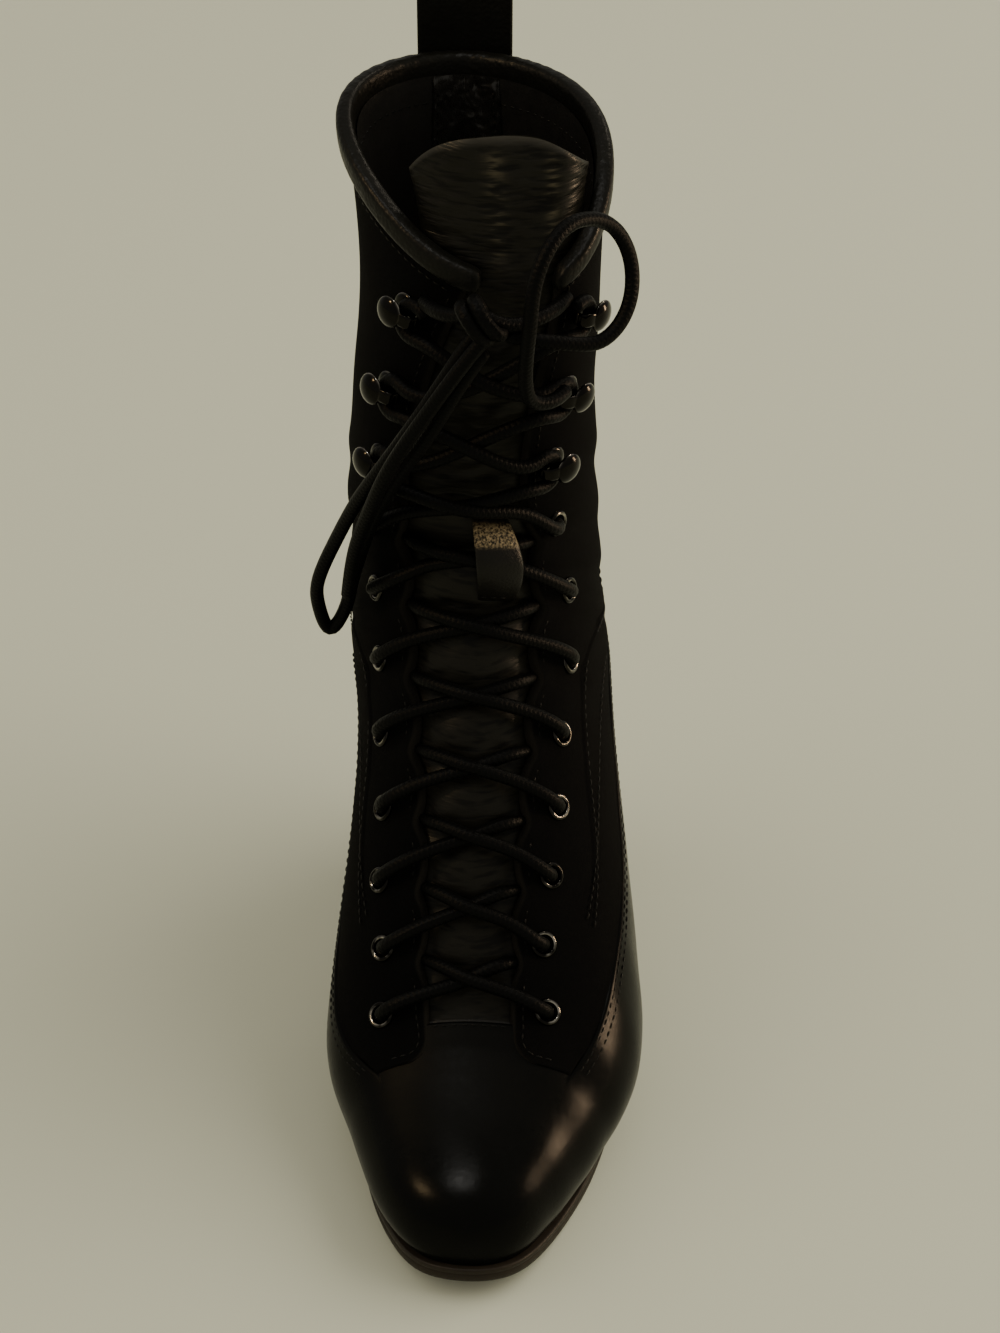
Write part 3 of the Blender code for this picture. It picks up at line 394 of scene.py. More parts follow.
def toned(name, specular, dark, light, patch_mm, rough, rough_mm, more=None):
    """A material whose colour drifts between two tones over patch_mm, and its roughness over rough_mm.

    Gives the material, its shader and the place on the boot that its patterns go by.
    """
    made, shader = finish(name, {"Specular IOR Level": specular, **(more or {})})
    coords = add_node(shader, "TexCoord").outputs["Object"]
    drift = add_node(shader, "TexNoise", {"Vector": coords, "Scale": 1000.0 / patch_mm, "Detail": 4.0,
                                          "Roughness": 0.6})
    add_node(shader, "MixRGB", {"Fac": drift, "Color1": colour(dark), "Color2": colour(light)}, to="Base Color")
    worn = add_node(shader, "TexNoise", {"Vector": coords, "Scale": 1000.0 / rough_mm, "Detail": 5.0,
                                         "Roughness": 0.65})
    add_node(shader, "MapRange", {"Value": worn, "From Min": 0.3, "From Max": 0.7, "To Min": rough[0],
                                  "To Max": rough[1]}, to="Roughness")
    return made, shader, coords


p = np.concatenate([np.linspace(0.0, 1.0, 26), np.linspace(1.04, VAMP_BACK - 0.1, 90),
                    VAMP_BACK - 0.1 * np.linspace(1.0, 0.0, 9)[1:]**1.6,
                    np.linspace(VAMP_BACK, COUNTER_TOP - 0.2, 150)[1:],
                    COUNTER_TOP - 0.2 * np.linspace(1.0, 0.0, 9)[1:]**2])[:, None]
half_points = []
for side in (-1, 1):
    edge = FOXING[side](p)
    t = np.concatenate([edge * np.linspace(0.0, 1.0, THROAT_COLS + 1)[None, :-1],
                        edge + (1.0 - edge) * (np.linspace(0.0, 1.0, 40)**2.2)[None]], axis=1)
    base = surface(p, t, side)
    n = outward(p, t, side)
    proud = FOXING_STEP * step(p, 3.7, 4.6)
    from_edge = run_along(base[:, THROAT_COLS:], 1)
    from_top = run_along(base[::-1], 0)[::-1][:, THROAT_COLS:]
    roll = 1.0 - (1.0 - rounded(from_edge, 1.3)) * step(p, 3.75, 4.1)
    roll = roll * np.where(p > 10.5, rounded(from_top, 1.3), 1.0)
    throat = -WALL * (1.0 - rounded(27.0 * (VAMP_BACK - p), 1.4)) * np.ones((1, THROAT_COLS))
    height = np.concatenate([throat, -0.5 + (proud + 0.5) * roll], axis=1)
    height = height + 0.12 * np.sin(base[..., 0] * 0.21 + base[..., 1] * 0.13) * np.sin(base[..., 1] * 0.17)
    where, depth, wide = FLEX_FOLD
    off = p - where + 0.9 * t**2
    fold = np.exp(-(off / wide)**2) - 0.5 * np.exp(-((off - 0.2) / wide)**2)
    height = height - depth * fold * (1.0 - step(t, 0.22, 0.42))
    half_points.append(base + n * height[..., None])
grid = np.concatenate([half_points[0][:, ::-1], half_points[1][:, 1:]], axis=1)
rows, cols = grid.shape[:2]
from_middle = np.abs(np.arange(cols - 1) + 0.5 - cols // 2)
hidden = (p[:-1] > VAMP_BACK - 1e-6) & (from_middle < THROAT_COLS)[None, :]
# Calf leather: near black and polished, so lamps draw long soft streaks; duller over the flex of the toes.
calf, shader, coords = toned("black calf leather", 0.047, "#070706", "#0d0d0b", 22.0, (0.2, 0.28), 3.0)
polish = shader.inputs["Roughness"].links[0].from_socket
away = add_node(shader, "VectorMath", {0: coords, 1: place(FLEX_SPOT)}, operation="DISTANCE").outputs["Value"]
flexed = add_node(shader, "MapRange", {"Value": away, "From Min": 0.017, "From Max": 0.035, "To Min": 0.2,
                                       "To Max": 0.0})
add_node(shader, "Math", {0: polish, 1: flexed}, to="Roughness", operation="ADD")
pores = add_node(shader, "TexVoronoi", {"Vector": coords, "Scale": 1000.0 / 0.55, "Randomness": 1.0},
                 feature="DISTANCE_TO_EDGE").outputs["Distance"]
flow = add_node(shader, "TexNoise", {"Vector": coords, "Scale": 1000.0 / 2.4, "Detail": 6.0, "Roughness": 0.7})
leather_grain = add_node(shader, "Math", {0: pores, 1: 0.3, 2: flow}, operation="MULTIPLY_ADD")
add_node(shader, "Bump", {"Height": leather_grain, "Strength": 0.4, "Distance": 0.001 * 0.14}, to="Normal")
vamp = piece("vamp_and_foxing", grid, cells(rows, cols)[~hidden][:, ::-1], calf, "black_calf")
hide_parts("upper")


# Quarters and shaft: black suede over the lining, with a rounded tab on the vamp at each side of the throat,
# facings down the front and a sewn-on back panel that runs out to a point above the foxing.
FACING_GAP = [(4.3, 12.3, 12.3), (5, 12.6, 12.6), (6, 13.0, 13.2), (7, 14.0, 15.0), (8, 15.8, 17.5),
              (9, 16.8, 19.0), (10, 17.0, 19.8), (11, 16.6, 20.0), (12, 16.2, 19.5), (13, 16.0, 18.0),
              (14, 15.8, 16.8), (15, 15.0, 15.5), (16, 13.5, 13.5)]
level, lateral, medial = zip(*FACING_GAP)
GAP = {1: curve(level, lateral), -1: curve(level, medial)}
EYELETS = [(4.71, 10.3, 14.2), (5.52, 8.7, 13.3), (6.28, 9.6, 14.2), (7.03, 10.0, 12.4), (7.82, 9.0, 11.6),
           (8.75, 9.8, 10.8), (10.05, 9.0, 10.8), (11.4, 7.8, 11.0)]
DIVES = [(here[0] + 0.66 * (there[0] - here[0]), there[0] - here[0])
         for here, there in zip(EYELETS, EYELETS[1:])]
PANEL_FRONT = curve((5.85, 6.52, 7.01, 7.6, 8.25, 9.0, 10, 11.5, 13, 16),
                    (0.388, 0.43, 0.436, 0.43, 0.434, 0.46, 0.53, 0.62, 0.67, 0.70))
CREASES = [(8.6, 1.4, 0.44, 0.13, 0.55, 0.16), (9.5, 1.0, 0.42, 0.16, 0.8, 0.17),
           (10.5, 0.6, 0.40, 0.18, 0.9, 0.18), (11.4, 0.3, 0.36, 0.20, 0.7, 0.20),
           (12.4, -0.6, 0.44, 0.18, 0.6, 0.22), (10.9, 1.2, 0.80, 0.12, 0.6, 0.20)]
TAB_CORNER = 0.075
TAB_END = 3.9
QUARTER_STEP = 0.7
PANEL_STEP = 0.45
HOLE_RADIUS = 3.0
PANEL_LOW = curve((5.85, 6.54, 7.06, 7.66, 8.32, 9.2, 16), (0.388, 0.452, 0.488, 0.526, 0.58, 0.66, 1.4))


def share_at(p, half, side):
    """Share of the way down section p at which the wall is half millimetres from the front line."""
    p = np.asarray(p, float)
    wide = half_width(p, side)
    a = np.zeros_like(p)
    for _ in range(8):
        a = np.arcsin(np.clip(half / (wide * (1.0 + SIZE["full_top"](p) * np.cos(a)**2)), 0.0, 1.0))
    return a / end_angle(p, side)


def surface_frame(p, half, side):
    """A spot on the upper half mm from the front line: point, outward, up the facing, to the middle."""
    t = share_at(p, half, side)
    n = outward(p, t, side)
    above = p + 0.02
    below = p - 0.02
    up = surface(above, share_at(above, half, side), side) - surface(below, share_at(below, half, side), side)
    up = unit(up - n * (up @ n))
    return surface(p, t, side), n, up, side * np.cross(n, up)


def fastener(row, side):
    """Where an eyelet or hook sits; its row gives the section and how far it lies from the facing's edge on
    the lateral and on the medial side, in millimetres."""
    p, lateral, medial = row
    return surface_frame(p, GAP[side](p) + (lateral if side > 0 else medial), side)


def facing_edge(p, side):
    """Share down each section at which a facing ends, pushed back where the lace dives under it, and cut to a
    rounded corner on the vamp."""
    p = np.asarray(p, float)
    pushed = sum(1.9 * np.exp(-((p - spot) / (0.22 * rise))**2) for spot, rise in DIVES)
    corner = TAB_CORNER * (1.0 - np.sqrt(np.clip(1.0 - (np.clip(4.25 - p, 0.0, 0.35) / 0.35)**2, 0.0, 1.0)))
    return share_at(p, GAP[side](np.clip(p, 4.3, None)) + pushed, side) + corner


def run_on(points, back):
    """A grid with one row more, 3 mm on from its last, in line with the row that lies back rows before."""
    return np.concatenate([points, points[-1:] + 3.0 * unit(points[-1:] - points[-back - 1:-back])])


def joined(shapes):
    """Grids of points and their faces as one list of points and one of faces."""
    starts = np.cumsum([0] + [points.size // 3 for points, quads in shapes])
    return (np.vstack([points.reshape(-1, 3) for points, quads in shapes]),
            np.vstack([quads.reshape(-1, 4) + start for (points, quads), start in zip(shapes, starts)]))


def value_map(values):
    """A map that gives each point one value."""
    return np.stack([values, 0.0 * values], axis=-1).reshape(-1, 2)


p = np.concatenate([TAB_END + 0.3 * np.linspace(0.0, 1.0, 16)**1.7, np.linspace(4.23, TOP, 250)])[:, None]
shapes = []
edges = []
for side in (-1, 1):
    inner = facing_edge(p, side)
    foxing = FOXING[side](np.clip(p, TAB_END, COUNTER_TOP))
    outer = foxing + 0.03 * step(p, 4.15, 4.6)
    outer = outer + (1.0 - outer) * step(p, 9.6, 10.8)
    spread = np.concatenate([0.12 * np.linspace(0.0, 1.0, 20)**1.9, np.linspace(0.12, 0.985, 90)[1:],
                             1.0 - 0.015 * np.linspace(1.0, 0.0, 8)[1:]**1.6])
    t = inner + (outer - inner) * spread[None]
    base = surface(p, t, side)
    n = outward(p, t, side)
    from_facing = run_along(base, 1)
    from_outer = run_along(base[:, ::-1], 1)[:, ::-1]
    from_tab = run_along(base, 0)
    metric = np.gradient(from_facing, axis=1) / np.maximum(np.gradient(t, axis=1), 1e-9)
    panel = np.minimum(t - PANEL_FRONT(p), PANEL_LOW(p) - t) * metric
    panel = np.where(p < 5.8, -1.0, panel)
    height = QUARTER_STEP + PANEL_STEP * step(panel, -0.5, 0.7) - 0.15 * np.exp(-(panel / 0.8)**2)
    for spot, rise in DIVES:
        height = height + 0.9 * np.exp(-((p - spot) / (0.25 * rise))**2 - (from_facing / 5.0)**2)
    for where, slope, share, span, depth, wide in CREASES:
        off = (p - where - slope * (t - share)) / wide
        fold = 0.55 * np.exp(-(off - 1.7)**2) + 0.35 * np.exp(-(off + 1.9)**2) - np.exp(-off**2)
        height = height + depth * fold * np.exp(-((t - share) / span)**2)
    wave = 0.22 * np.sin(base[..., 2] * 0.16 + 2.0 * base[..., 0] * 0.05) * np.sin(base[..., 1] * 0.11 + side)
    height = height + wave * step(from_facing, 6.0, 20.0)
    edge = rounded(from_tab, 1.2) * np.where(p < 4.7, rounded(from_outer, 1.2), 1.0)
    height = -0.5 + (height + 0.5) * edge
    height = -WALL + (height + WALL) * rounded(from_facing, 1.5)
    points = run_on(base + n * height[..., None], 11)
    quads = cells(*points.shape[:2])
    centre = points.reshape(-1, 3)[quads].mean(axis=2)
    hole = np.zeros(centre.shape[:2], bool)
    for row in EYELETS:
        hole |= np.linalg.norm(centre - fastener(row, side)[0], axis=-1) < HOLE_RADIUS
    shapes.append((points, quads[~hole] if side < 0 else quads[~hole][:, ::-1]))
    edges.append(value_map(1.0 - step(np.concatenate([from_facing, from_facing[-1:]]), 0.5, 1.6)))
# Suede: deep matt black, brushed into faint patches, with a breath of sheen and a paler raw edge.
suede, shader, coords = toned("black suede", 0.04, "#050505", "#0a0a0a", 9.0, (0.88, 0.98), 1.2, {
    "Sheen Weight": 0.02, "Sheen Roughness": 0.55, "Sheen Tint": colour("#8a8278")})
plain = shader.inputs["Base Color"].links[0].from_socket
add_node(shader, "MixRGB", {"Fac": map_parts(shader)["X"], "Color1": plain, "Color2": colour("#1f1d19")},
         to="Base Color")
nap = add_node(shader, "TexNoise", {"Vector": coords, "Scale": 1000.0 / 0.45, "Detail": 6.0, "Roughness": 0.75})
brushed = add_node(shader, "TexNoise", {"Vector": coords, "Scale": 1000.0 / 6.0, "Detail": 3.0,
                                        "Roughness": 0.6})
pile = add_node(shader, "Math", {0: brushed, 1: 0.6, 2: nap}, operation="MULTIPLY_ADD")
add_node(shader, "Bump", {"Height": pile, "Strength": 0.8, "Distance": 0.001 * 0.4}, to="Normal")
piece("suede_quarters", *joined(shapes), suede, "black_suede", np.vstack(edges))


# Lining: thin black leather over the whole inside, from the toe to the collar, open where the tongue lies. A
# soft patch with a seam up its middle is sewn over it at the back.
p = np.concatenate([np.linspace(0.15, 4.4, 50), np.linspace(4.5, TOP, 110)])[:, None]
halves = []
for side in (-1, 1):
    inner = facing_edge(np.clip(p, 4.6, None), side)
    t = np.concatenate([inner * np.linspace(0.0, 1.0, 9)[None, :-1],
                        inner + (1.0 - inner) * np.linspace(0.0, 1.0, 50)[None]], axis=1)
    halves.append(surface(p, t, side) - WALL * outward(p, t, side))
grid = np.concatenate([halves[0][:, ::-1], halves[1][:, 1:]], axis=1)
grid[..., 2] = np.maximum(grid[..., 2], seat_z(grid[..., 1]) + SEAT_GAP)
grid = run_on(grid, 5)
cols = grid.shape[1]
opened = (p > 4.45) & (np.abs(np.arange(cols - 1) + 0.5 - cols // 2) < 8)[None, :]
# Lining leather: a shade paler than the outside, with a low satin gloss and fine wrinkles.
lining, shader, coords = toned("black lining leather", 0.18, "#141311", "#201e1b", 14.0, (0.34, 0.5), 4.0)
wrinkles = add_node(shader, "TexNoise", {"Vector": coords, "Scale": 1000.0 / 1.6, "Detail": 6.0,
                                         "Roughness": 0.7})
add_node(shader, "Bump", {"Height": wrinkles, "Strength": 0.5, "Distance": 0.001 * 0.3}, to="Normal")
piece("lining", grid, cells(*grid.shape[:2])[~opened], lining, "black_lining")
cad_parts["insole"].data.materials.clear()
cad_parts["insole"].data.materials.append(lining)

PATCH_HALF = 13.5
PATCH_LOW = 15.25
PATCH_THICK = 0.95
PATCH_SUNK = 0.4


def bunched(count):
    """Places across a strip, the sine of even steps from -1 to 1, so closer together at its edges."""
    return np.sin(np.linspace(-0.5, 0.5, count) * math.pi)


def back_share(p, half, side):
    """Share of the way down section p at which the wall is half millimetres from the back line."""
    return 1.0 - np.arcsin(half / half_width(p, side)) / math.pi


s = PATCH_HALF * bunched(61)[None]
p = np.concatenate([PATCH_LOW + 0.1 * np.linspace(0.0, 1.0, 10)**1.7,
                    np.linspace(PATCH_LOW + 0.12, TOP, 40)])[:, None]
patch = np.zeros((len(p), 61, 3))
n = np.zeros_like(patch)
for side, mine in ((1, s[0] >= 0.0), (-1, s[0] < 0.0)):
    t = back_share(p, np.abs(s[:, mine]), side)
    patch[:, mine] = surface(p, t, side)
    n[:, mine] = outward(p, t, side)
edge = rounded(PATCH_HALF - np.abs(s), 1.1) * rounded(run_along(patch, 0), 1.1)
high = 38.0 * (p - PATCH_LOW)
bent = s + 1.6 * np.sin(0.47 * high + 0.4 * s)
tipped = high + 1.5 * np.sin(0.62 * s + 0.2 * high)
crinkle = 0.1 * np.sin(0.95 * bent + 0.3 * tipped) * np.sin(0.8 * tipped)
crinkle = crinkle + 0.05 * np.sin(1.7 * bent - 1.2 * tipped)
seam = 0.3 * np.exp(-(s / 0.7)**2)
deep = WALL - PATCH_SUNK + (PATCH_THICK + PATCH_SUNK + crinkle - seam) * edge
patch = run_on(patch - n * deep[..., None], 5)
# Patch leather: thinner and glossier than the lining, so its crinkles catch the light.
soft, shader, coords = toned("black patch leather", 0.4, "#12110f", "#1d1b18", 9.0, (0.22, 0.32), 2.5)
wrinkles = add_node(shader, "TexNoise", {"Vector": coords, "Scale": 1000.0 / 7.5, "Detail": 2.0,
                                         "Roughness": 0.5, "Distortion": 0.4})
add_node(shader, "Bump", {"Height": wrinkles, "Strength": 0.8, "Distance": 0.001 * 2.0}, to="Normal")
piece("lining_back_patch", patch, cells(*patch.shape[:2])[..., ::-1], soft, "black_lining")


# Tongue: soft milled leather under the facings, creased across where it flexes, with a rounded fan of a top
# that stands above the collar and leans back.
TONGUE_HALF = curve((4.12, 6, 8, 11, 13, 16), (19.0, 22.0, 26.0, 28.0, 27.5, 28.0))
TONGUE_DEEP = 2.9
TONGUE_THICK = 1.3
TONGUE_RISE = 44.3
PRESSED = [here[0] + 0.38 * (there[0] - here[0]) for here, there in zip(EYELETS, EYELETS[1:])]
FOLDS = [(where, 0.8, 0.10) for where in PRESSED]
FOLDS += [(5.2, 0.3, 0.05), (6.1, 0.3, 0.05), (6.75, 0.35, 0.05), (7.55, 0.4, 0.06), (8.4, 0.4, 0.06),
          (9.55, 0.6, 0.08), (11.9, 0.8, 0.09), (12.5, 0.6, 0.08), (13.3, 0.9, 0.10), (14.2, 0.7, 0.10),
          (15.0, 0.7, 0.10), (15.8, 0.5, 0.09), (16.5, 0.35, 0.10)]
across = bunched(61)
p = np.linspace(4.2, TOP, 210)
mid = np.zeros((len(p), 61, 3))
n = np.zeros_like(mid)
for side, mine in ((1, across >= 0.0), (-1, across < 0.0)):
    t = share_at(p[:, None], np.abs(across[mine])[None] * TONGUE_HALF(p)[:, None], side)
    mid[:, mine] = surface(p[:, None], t, side)
    n[:, mine] = outward(p[:, None], t, side)
mid = mid - n * (TONGUE_DEEP + TONGUE_THICK)
rise = TONGUE_RISE * (1.0 - 0.077 * across - 0.37 * across**2 - 0.215 * across**4)[None]
share = np.linspace(0.0, 1.0, 36)[1:, None]
fan = share**2 * (2.4 * across - 0.6)[None]
bowed = 1.6 * np.sin(across * 5.0 + 0.6)[None] * share**1.5
lean = np.stack([-0.03 * rise * share + fan, 0.25 * rise * share + bowed, 0.97 * rise * share], axis=-1)
mid = np.concatenate([mid, mid[-1:] + lean])
n = np.concatenate([n, np.repeat(n[-1:], len(share), axis=0)])
rows = len(mid)
level = np.concatenate([p, TOP + 1.9 * share[:, 0]])[:, None]
trough = np.zeros((rows, 61))
for where, depth, wide in FOLDS:
    bent = where + 0.16 * across**2 + 0.05 * np.sin(9.0 * across + 5.0 * where)
    trough = trough - depth * np.exp(-((level - bent[None]) / wide)**2) * (1.0 - across**4)[None]
trough = trough + 0.10 * np.sin(level * 21.0 + 3.0 * np.sin(across * 6.0)[None]) * step(level, 11.5, 13.0)
gap = np.where(across[None] > 0.0, GAP[1](level), GAP[-1](level)) - 1.0
crown = np.clip(1.0 - (across[None] * TONGUE_HALF(level) / gap)**2, 0.0, 1.0)
for low, high in zip(PRESSED, PRESSED[1:]):
    between = np.clip((level - low) / (high - low), 0.0, 1.0)
    trough = trough + 2.0 * np.sin(math.pi * between)**0.8 * crown
thick = TONGUE_THICK * np.sqrt(np.clip(1.0 - np.abs(across)**10, 0.02, 1.0))[None] * np.ones((rows, 1))
thick[-4:] = thick[-4:] * np.array([1.0, 0.92, 0.75, 0.3])[:, None]
loop = np.concatenate([mid + n * (thick + trough)[..., None], (mid - n * thick[..., None])[:, ::-1]], axis=1)
# Milled leather: soft black and crinkled across, with painted shade as dark lines in the crinkles, and
# painted glints on two ridges and a painted highlight along the rim.
milled, shader, coords = toned("black milled leather", 0.1, "#161510", "#201e18", 12.0, (0.3, 0.42), 2.5)
flat = add_node(shader, "Mapping", {"Vector": coords, "Scale": (0.16, 0.16, 1.0)}).outputs["Vector"]
crinkles = add_node(shader, "TexNoise", {"Vector": flat, "Scale": 1000.0 / 1.3, "Detail": 2.0,
                                         "Roughness": 0.5, "Distortion": 0.25})
height = add_node(shader, "SeparateXYZ", {"Vector": coords}).outputs["Z"]
fading = add_node(shader, "MapRange", {"Value": height, "From Min": 0.2, "From Max": 0.25, "To Min": 0.3,
                                       "To Max": 0.8})
add_node(shader, "Bump", {"Height": crinkles, "Strength": fading, "Distance": 0.001 * 0.5}, to="Normal")
parts = map_parts(shader)
plain = shader.inputs["Base Color"].links[0].from_socket
# Painted shade: the crinkles' hollows are darkened into dark lines.
painted_crease_shade = add_node(shader, "MapRange", {"Value": crinkles, "From Min": 0.36, "From Max": 0.52, "To Min": 0.75,
                                           "To Max": 0.0})
crease_shaded = add_node(shader, "MixRGB", {"Fac": painted_crease_shade, "Color1": plain, "Color2": colour("#060605")})
# Painted glints: paler specks on the crinkles' crests, in two upright bands near the top of the fan.
glint_crests = add_node(shader, "MapRange", {"Value": crinkles, "From Min": 0.52, "From Max": 0.68})
crest_glints = add_node(shader, "Math", {0: parts["Y"], 1: glint_crests}, operation="MULTIPLY")
glinted = add_node(shader, "MixRGB", {"Fac": crest_glints, "Color1": crease_shaded, "Color2": colour("#453f31")})
# Painted highlight: the fan's top rim is coloured paler.
add_node(shader, "MixRGB", {"Fac": parts["X"], "Color1": glinted, "Color2": colour("#3c3932")}, to="Base Color")
# The painted highlight covers the last rows of the fan, at its rim.
edge = np.repeat(np.clip((np.arange(rows) - rows + 3) / 2.0, 0.0, 1.0), loop.shape[1])
# Painted glints: the two upright bands high on the fan, carried in the map's second value.
glint_bands = np.exp(-((across + 0.16) / 0.09)**2) + np.exp(-((across - 0.49) / 0.08)**2)
painted_glint = step(level, 16.1, 16.7) * (1.0 - step(level, 17.6, 17.9)) * glint_bands[None]
painted_glint = np.concatenate([painted_glint, 0.0 * painted_glint], axis=1).ravel()
tongue = piece("tongue_leather", loop, cells(*loop.shape[:2], closed=True), milled, "black_calf",
               np.stack([edge, painted_glint], axis=1))
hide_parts("tongue")


# Lace keeper: a leather strap sewn to the tongue at both ends, which the lace passes through. Its upper end
# has painted glints: pale brown specks on the glaze.
KEEPER_LOW = 9.7
KEEPER_LONG = 1.7
KEEPER_MIDDLE = 6.3
KEEPER_HALF = 5.5
KEEPER_THICK = 0.8
CLEAR = 0.35
v = np.linspace(0.0, 1.0, 61)[:, None]
u = bunched(25)[None]
p = np.broadcast_to(KEEPER_LOW + KEEPER_LONG * v, (61, 25))
t = share_at(p, KEEPER_MIDDLE + KEEPER_HALF * u, 1)
spot = surface(p, t, 1)
n = outward(p, t, 1)
thick = KEEPER_THICK * np.sqrt(np.clip(1.0 - np.abs(u)**8, 0.03, 1.0))
middle = CLEAR + 6.9 * np.sin(math.pi * v)**0.85 + KEEPER_THICK - TONGUE_DEEP
top = spot + n * (middle + thick)[..., None]
under = spot + n * (middle - thick)[..., None]
loop = np.concatenate([top, under[:, ::-1]], axis=1)
# Glazed leather: black under a hard gloss, with painted glints, pale brown specks, over its upper end.
glazed, shader, coords = toned("black glazed leather", 0.15, "#0d0c0a", "#161410", 4.0, (0.3, 0.42), 1.5)
speck = add_node(shader, "TexNoise", {"Vector": coords, "Scale": 1000.0 / 0.7, "Detail": 3.0, "Roughness": 0.6})
add_node(shader, "Bump", {"Height": speck, "Strength": 0.6, "Distance": 0.001 * 0.3}, to="Normal")
plain = shader.inputs["Base Color"].links[0].from_socket
# Painted glints: pale brown specks over the strap's upper end.
glint_specks = add_node(shader, "MapRange", {"Value": speck, "From Min": 0.4, "From Max": 0.68})
wear_and_glint_mask = add_node(shader, "Math", {0: map_parts(shader)["X"], 1: glint_specks}, operation="MULTIPLY")
add_node(shader, "MixRGB", {"Fac": wear_and_glint_mask, "Color1": plain, "Color2": colour("#a08a66")}, to="Base Color")
painted_glint = np.repeat(step(v[:, 0], 0.68, 0.76) * (1.0 - step(v[:, 0], 0.92, 1.0)), loop.shape[1])
quads = cells(*loop.shape[:2], closed=True)[..., ::-1]
keeper = piece("lace_keeper_strap", loop, quads, glazed, "black_calf", value_map(painted_glint))
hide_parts("lace_keeper")
keeper_seam = (top[3, 3:-3], n[3, 3:-3])


# Collar: a padded roll of soft leather sewn along the top line, closed at the front on each facing. It
# puckers a little towards the back.
ROLL_HIGH = 4.4
ROLL_DEEP = 2.7
ROLL_OUT = 0.9
ROLL_AROUND = 32
spine = []
for side in (1, -1):
    shares = np.linspace(float(share_at(TOP, GAP[side](TOP), side)), 1.0, 110)
    shares = shares if side > 0 else shares[::-1][1:]
    base = surface(TOP, shares, side)
    n = outward(TOP, shares, side)
    up = unit(base - surface(TOP - 0.05, shares, side))
    spine.append(np.concatenate([base + n * ROLL_OUT, n, up], axis=1))
spine = np.vstack(spine)
spine = np.vstack([spine[:1] + (spine[:1] - spine[2:3]) * k for k in (1.5, 0.75)] + [spine]
                  + [spine[-1:] + (spine[-1:] - spine[-3:-2]) * k for k in (0.75, 1.5)])
foot, n, up = spine[:, :3], spine[:, 3:6], spine[:, 6:]
length = run_along(foot, 0)
end = np.minimum(length, length[-1] - length)
tall = ROLL_HIGH * (0.86 + 0.14 * step(end, 4.0, 45.0))
centre = foot + up * (SEAT_GAP + tall)[:, None]
turn = np.arange(ROLL_AROUND) * 2.0 * math.pi / ROLL_AROUND
taper = (0.85 + 0.15 * rounded(end, 1.2))[:, None]
ripple = np.sin(length[:, None] * 1.3 + 1.4 * np.cos(turn)[None] + 2.0 * np.sin(length * 0.21)[:, None])
pucker = 1.0 + (0.006 + 0.016 * step(end, 60.0, 100.0))[:, None] * ripple
high = tall[:, None] * taper * pucker * np.sign(np.cos(turn)) * np.abs(np.cos(turn))**0.55
deep = ROLL_DEEP * taper * pucker * np.sign(np.sin(turn)) * np.abs(np.sin(turn))**0.7
loop = centre[:, None] + up[:, None] * high[..., None] + n[:, None] * deep[..., None]
run = unit(np.gradient(centre, axis=0))
first = centre[:1, None] - 0.8 * run[:1, None] + 0.02 * (loop[:1] - centre[:1, None])
last = centre[-1:, None] + 0.8 * run[-1:, None] + 0.02 * (loop[-1:] - centre[-1:, None])
loop = np.concatenate([first, loop, last])
# Binding leather: black, with small pebbles that break a low gloss into points.
binding, shader, coords = toned("black binding leather", 0.1, "#0b0b09", "#15140f", 16.0, (0.34, 0.46), 3.0)
pebbles = add_node(shader, "TexVoronoi", {"Vector": coords, "Scale": 1000.0 / 1.1}, feature="SMOOTH_F1")
add_node(shader, "Bump", {"Height": pebbles, "Strength": 0.5, "Distance": 0.001 * 0.3}, to="Normal")
collar = piece("collar_roll_leather", loop, cells(*loop.shape[:2], closed=True), binding, "black_calf")
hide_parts("collar_roll")


# Pull loop: a doubled strap of the collar's leather sewn to the back of the shaft, standing well above the
# collar and bowed across.
STRAP_PATH = [(105.3, 250.0), (107.0, 262.0), (109.8, 270.5), (112.9, 277.5), (114.0, 286.0), (114.0, 303.0),
              (115.5, 311.0), (120.0, 314.8), (124.5, 311.0), (126.0, 303.0), (125.0, 289.0), (121.5, 277.0),
              (115.5, 267.5), (110.4, 260.5), (108.0, 250.0)]
STRAP_MIDDLE = -10.0
STRAP_HALF = 14.0
line = smooth_line([(0.0, y, z) for y, z in STRAP_PATH], 1.3)[:, 1:]
run = unit(np.gradient(line, axis=0))
u = bunched(33)
thick = np.sqrt(np.clip(1.0 - np.abs(u)**10, 0.02, 1.0))
bow = (u * STRAP_HALF)**2 / 80.0
sheets = []
for hand in (1.0, -1.0):
    y = line[:, :1] + hand * run[:, 1:] * thick[None] - bow[None]
    z = line[:, 1:] - hand * run[:, :1] * thick[None]
    x = np.broadcast_to(STRAP_MIDDLE + STRAP_HALF * u[None], y.shape)
    sheets.append(np.stack([x, y, z], axis=-1))
loop = np.concatenate([sheets[0], sheets[1][:, ::-1]], axis=1)
strap = piece("pull_loop_strap", loop, cells(*loop.shape[:2], closed=True)[..., ::-1], binding, "black_calf")
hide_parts("pull_loop")


# Eyelets: rolled rings of black nickel, set through the facings. Each profile row is a radius and a height in
# millimetres and how worn the plating is there.
def turned(profile, spot, n, up, toward, side, around=28):
    """A profile of radius, height and wear turned about the outward line at a spot on the facing."""
    turn = np.arange(around) * 2.0 * math.pi / around
    spoke = np.cos(turn)[:, None] * toward + np.sin(turn)[:, None] * up
    ring = np.array([spot + n * high + spoke * radius for radius, high, worn in profile])
    quads = cells(len(profile), around, closed=True)
    return ring, quads if side < 0 else quads[..., ::-1], np.repeat([row[2] for row in profile], around)


def metal(name, shapes):
    """Turned and bent shapes as one nickel piece, with each point's wear in its map."""
    worn = np.concatenate([wear for points, quads, wear in shapes])
    return piece(name, *joined([shape[:2] for shape in shapes]), nickel, "black_nickel", value_map(worn))


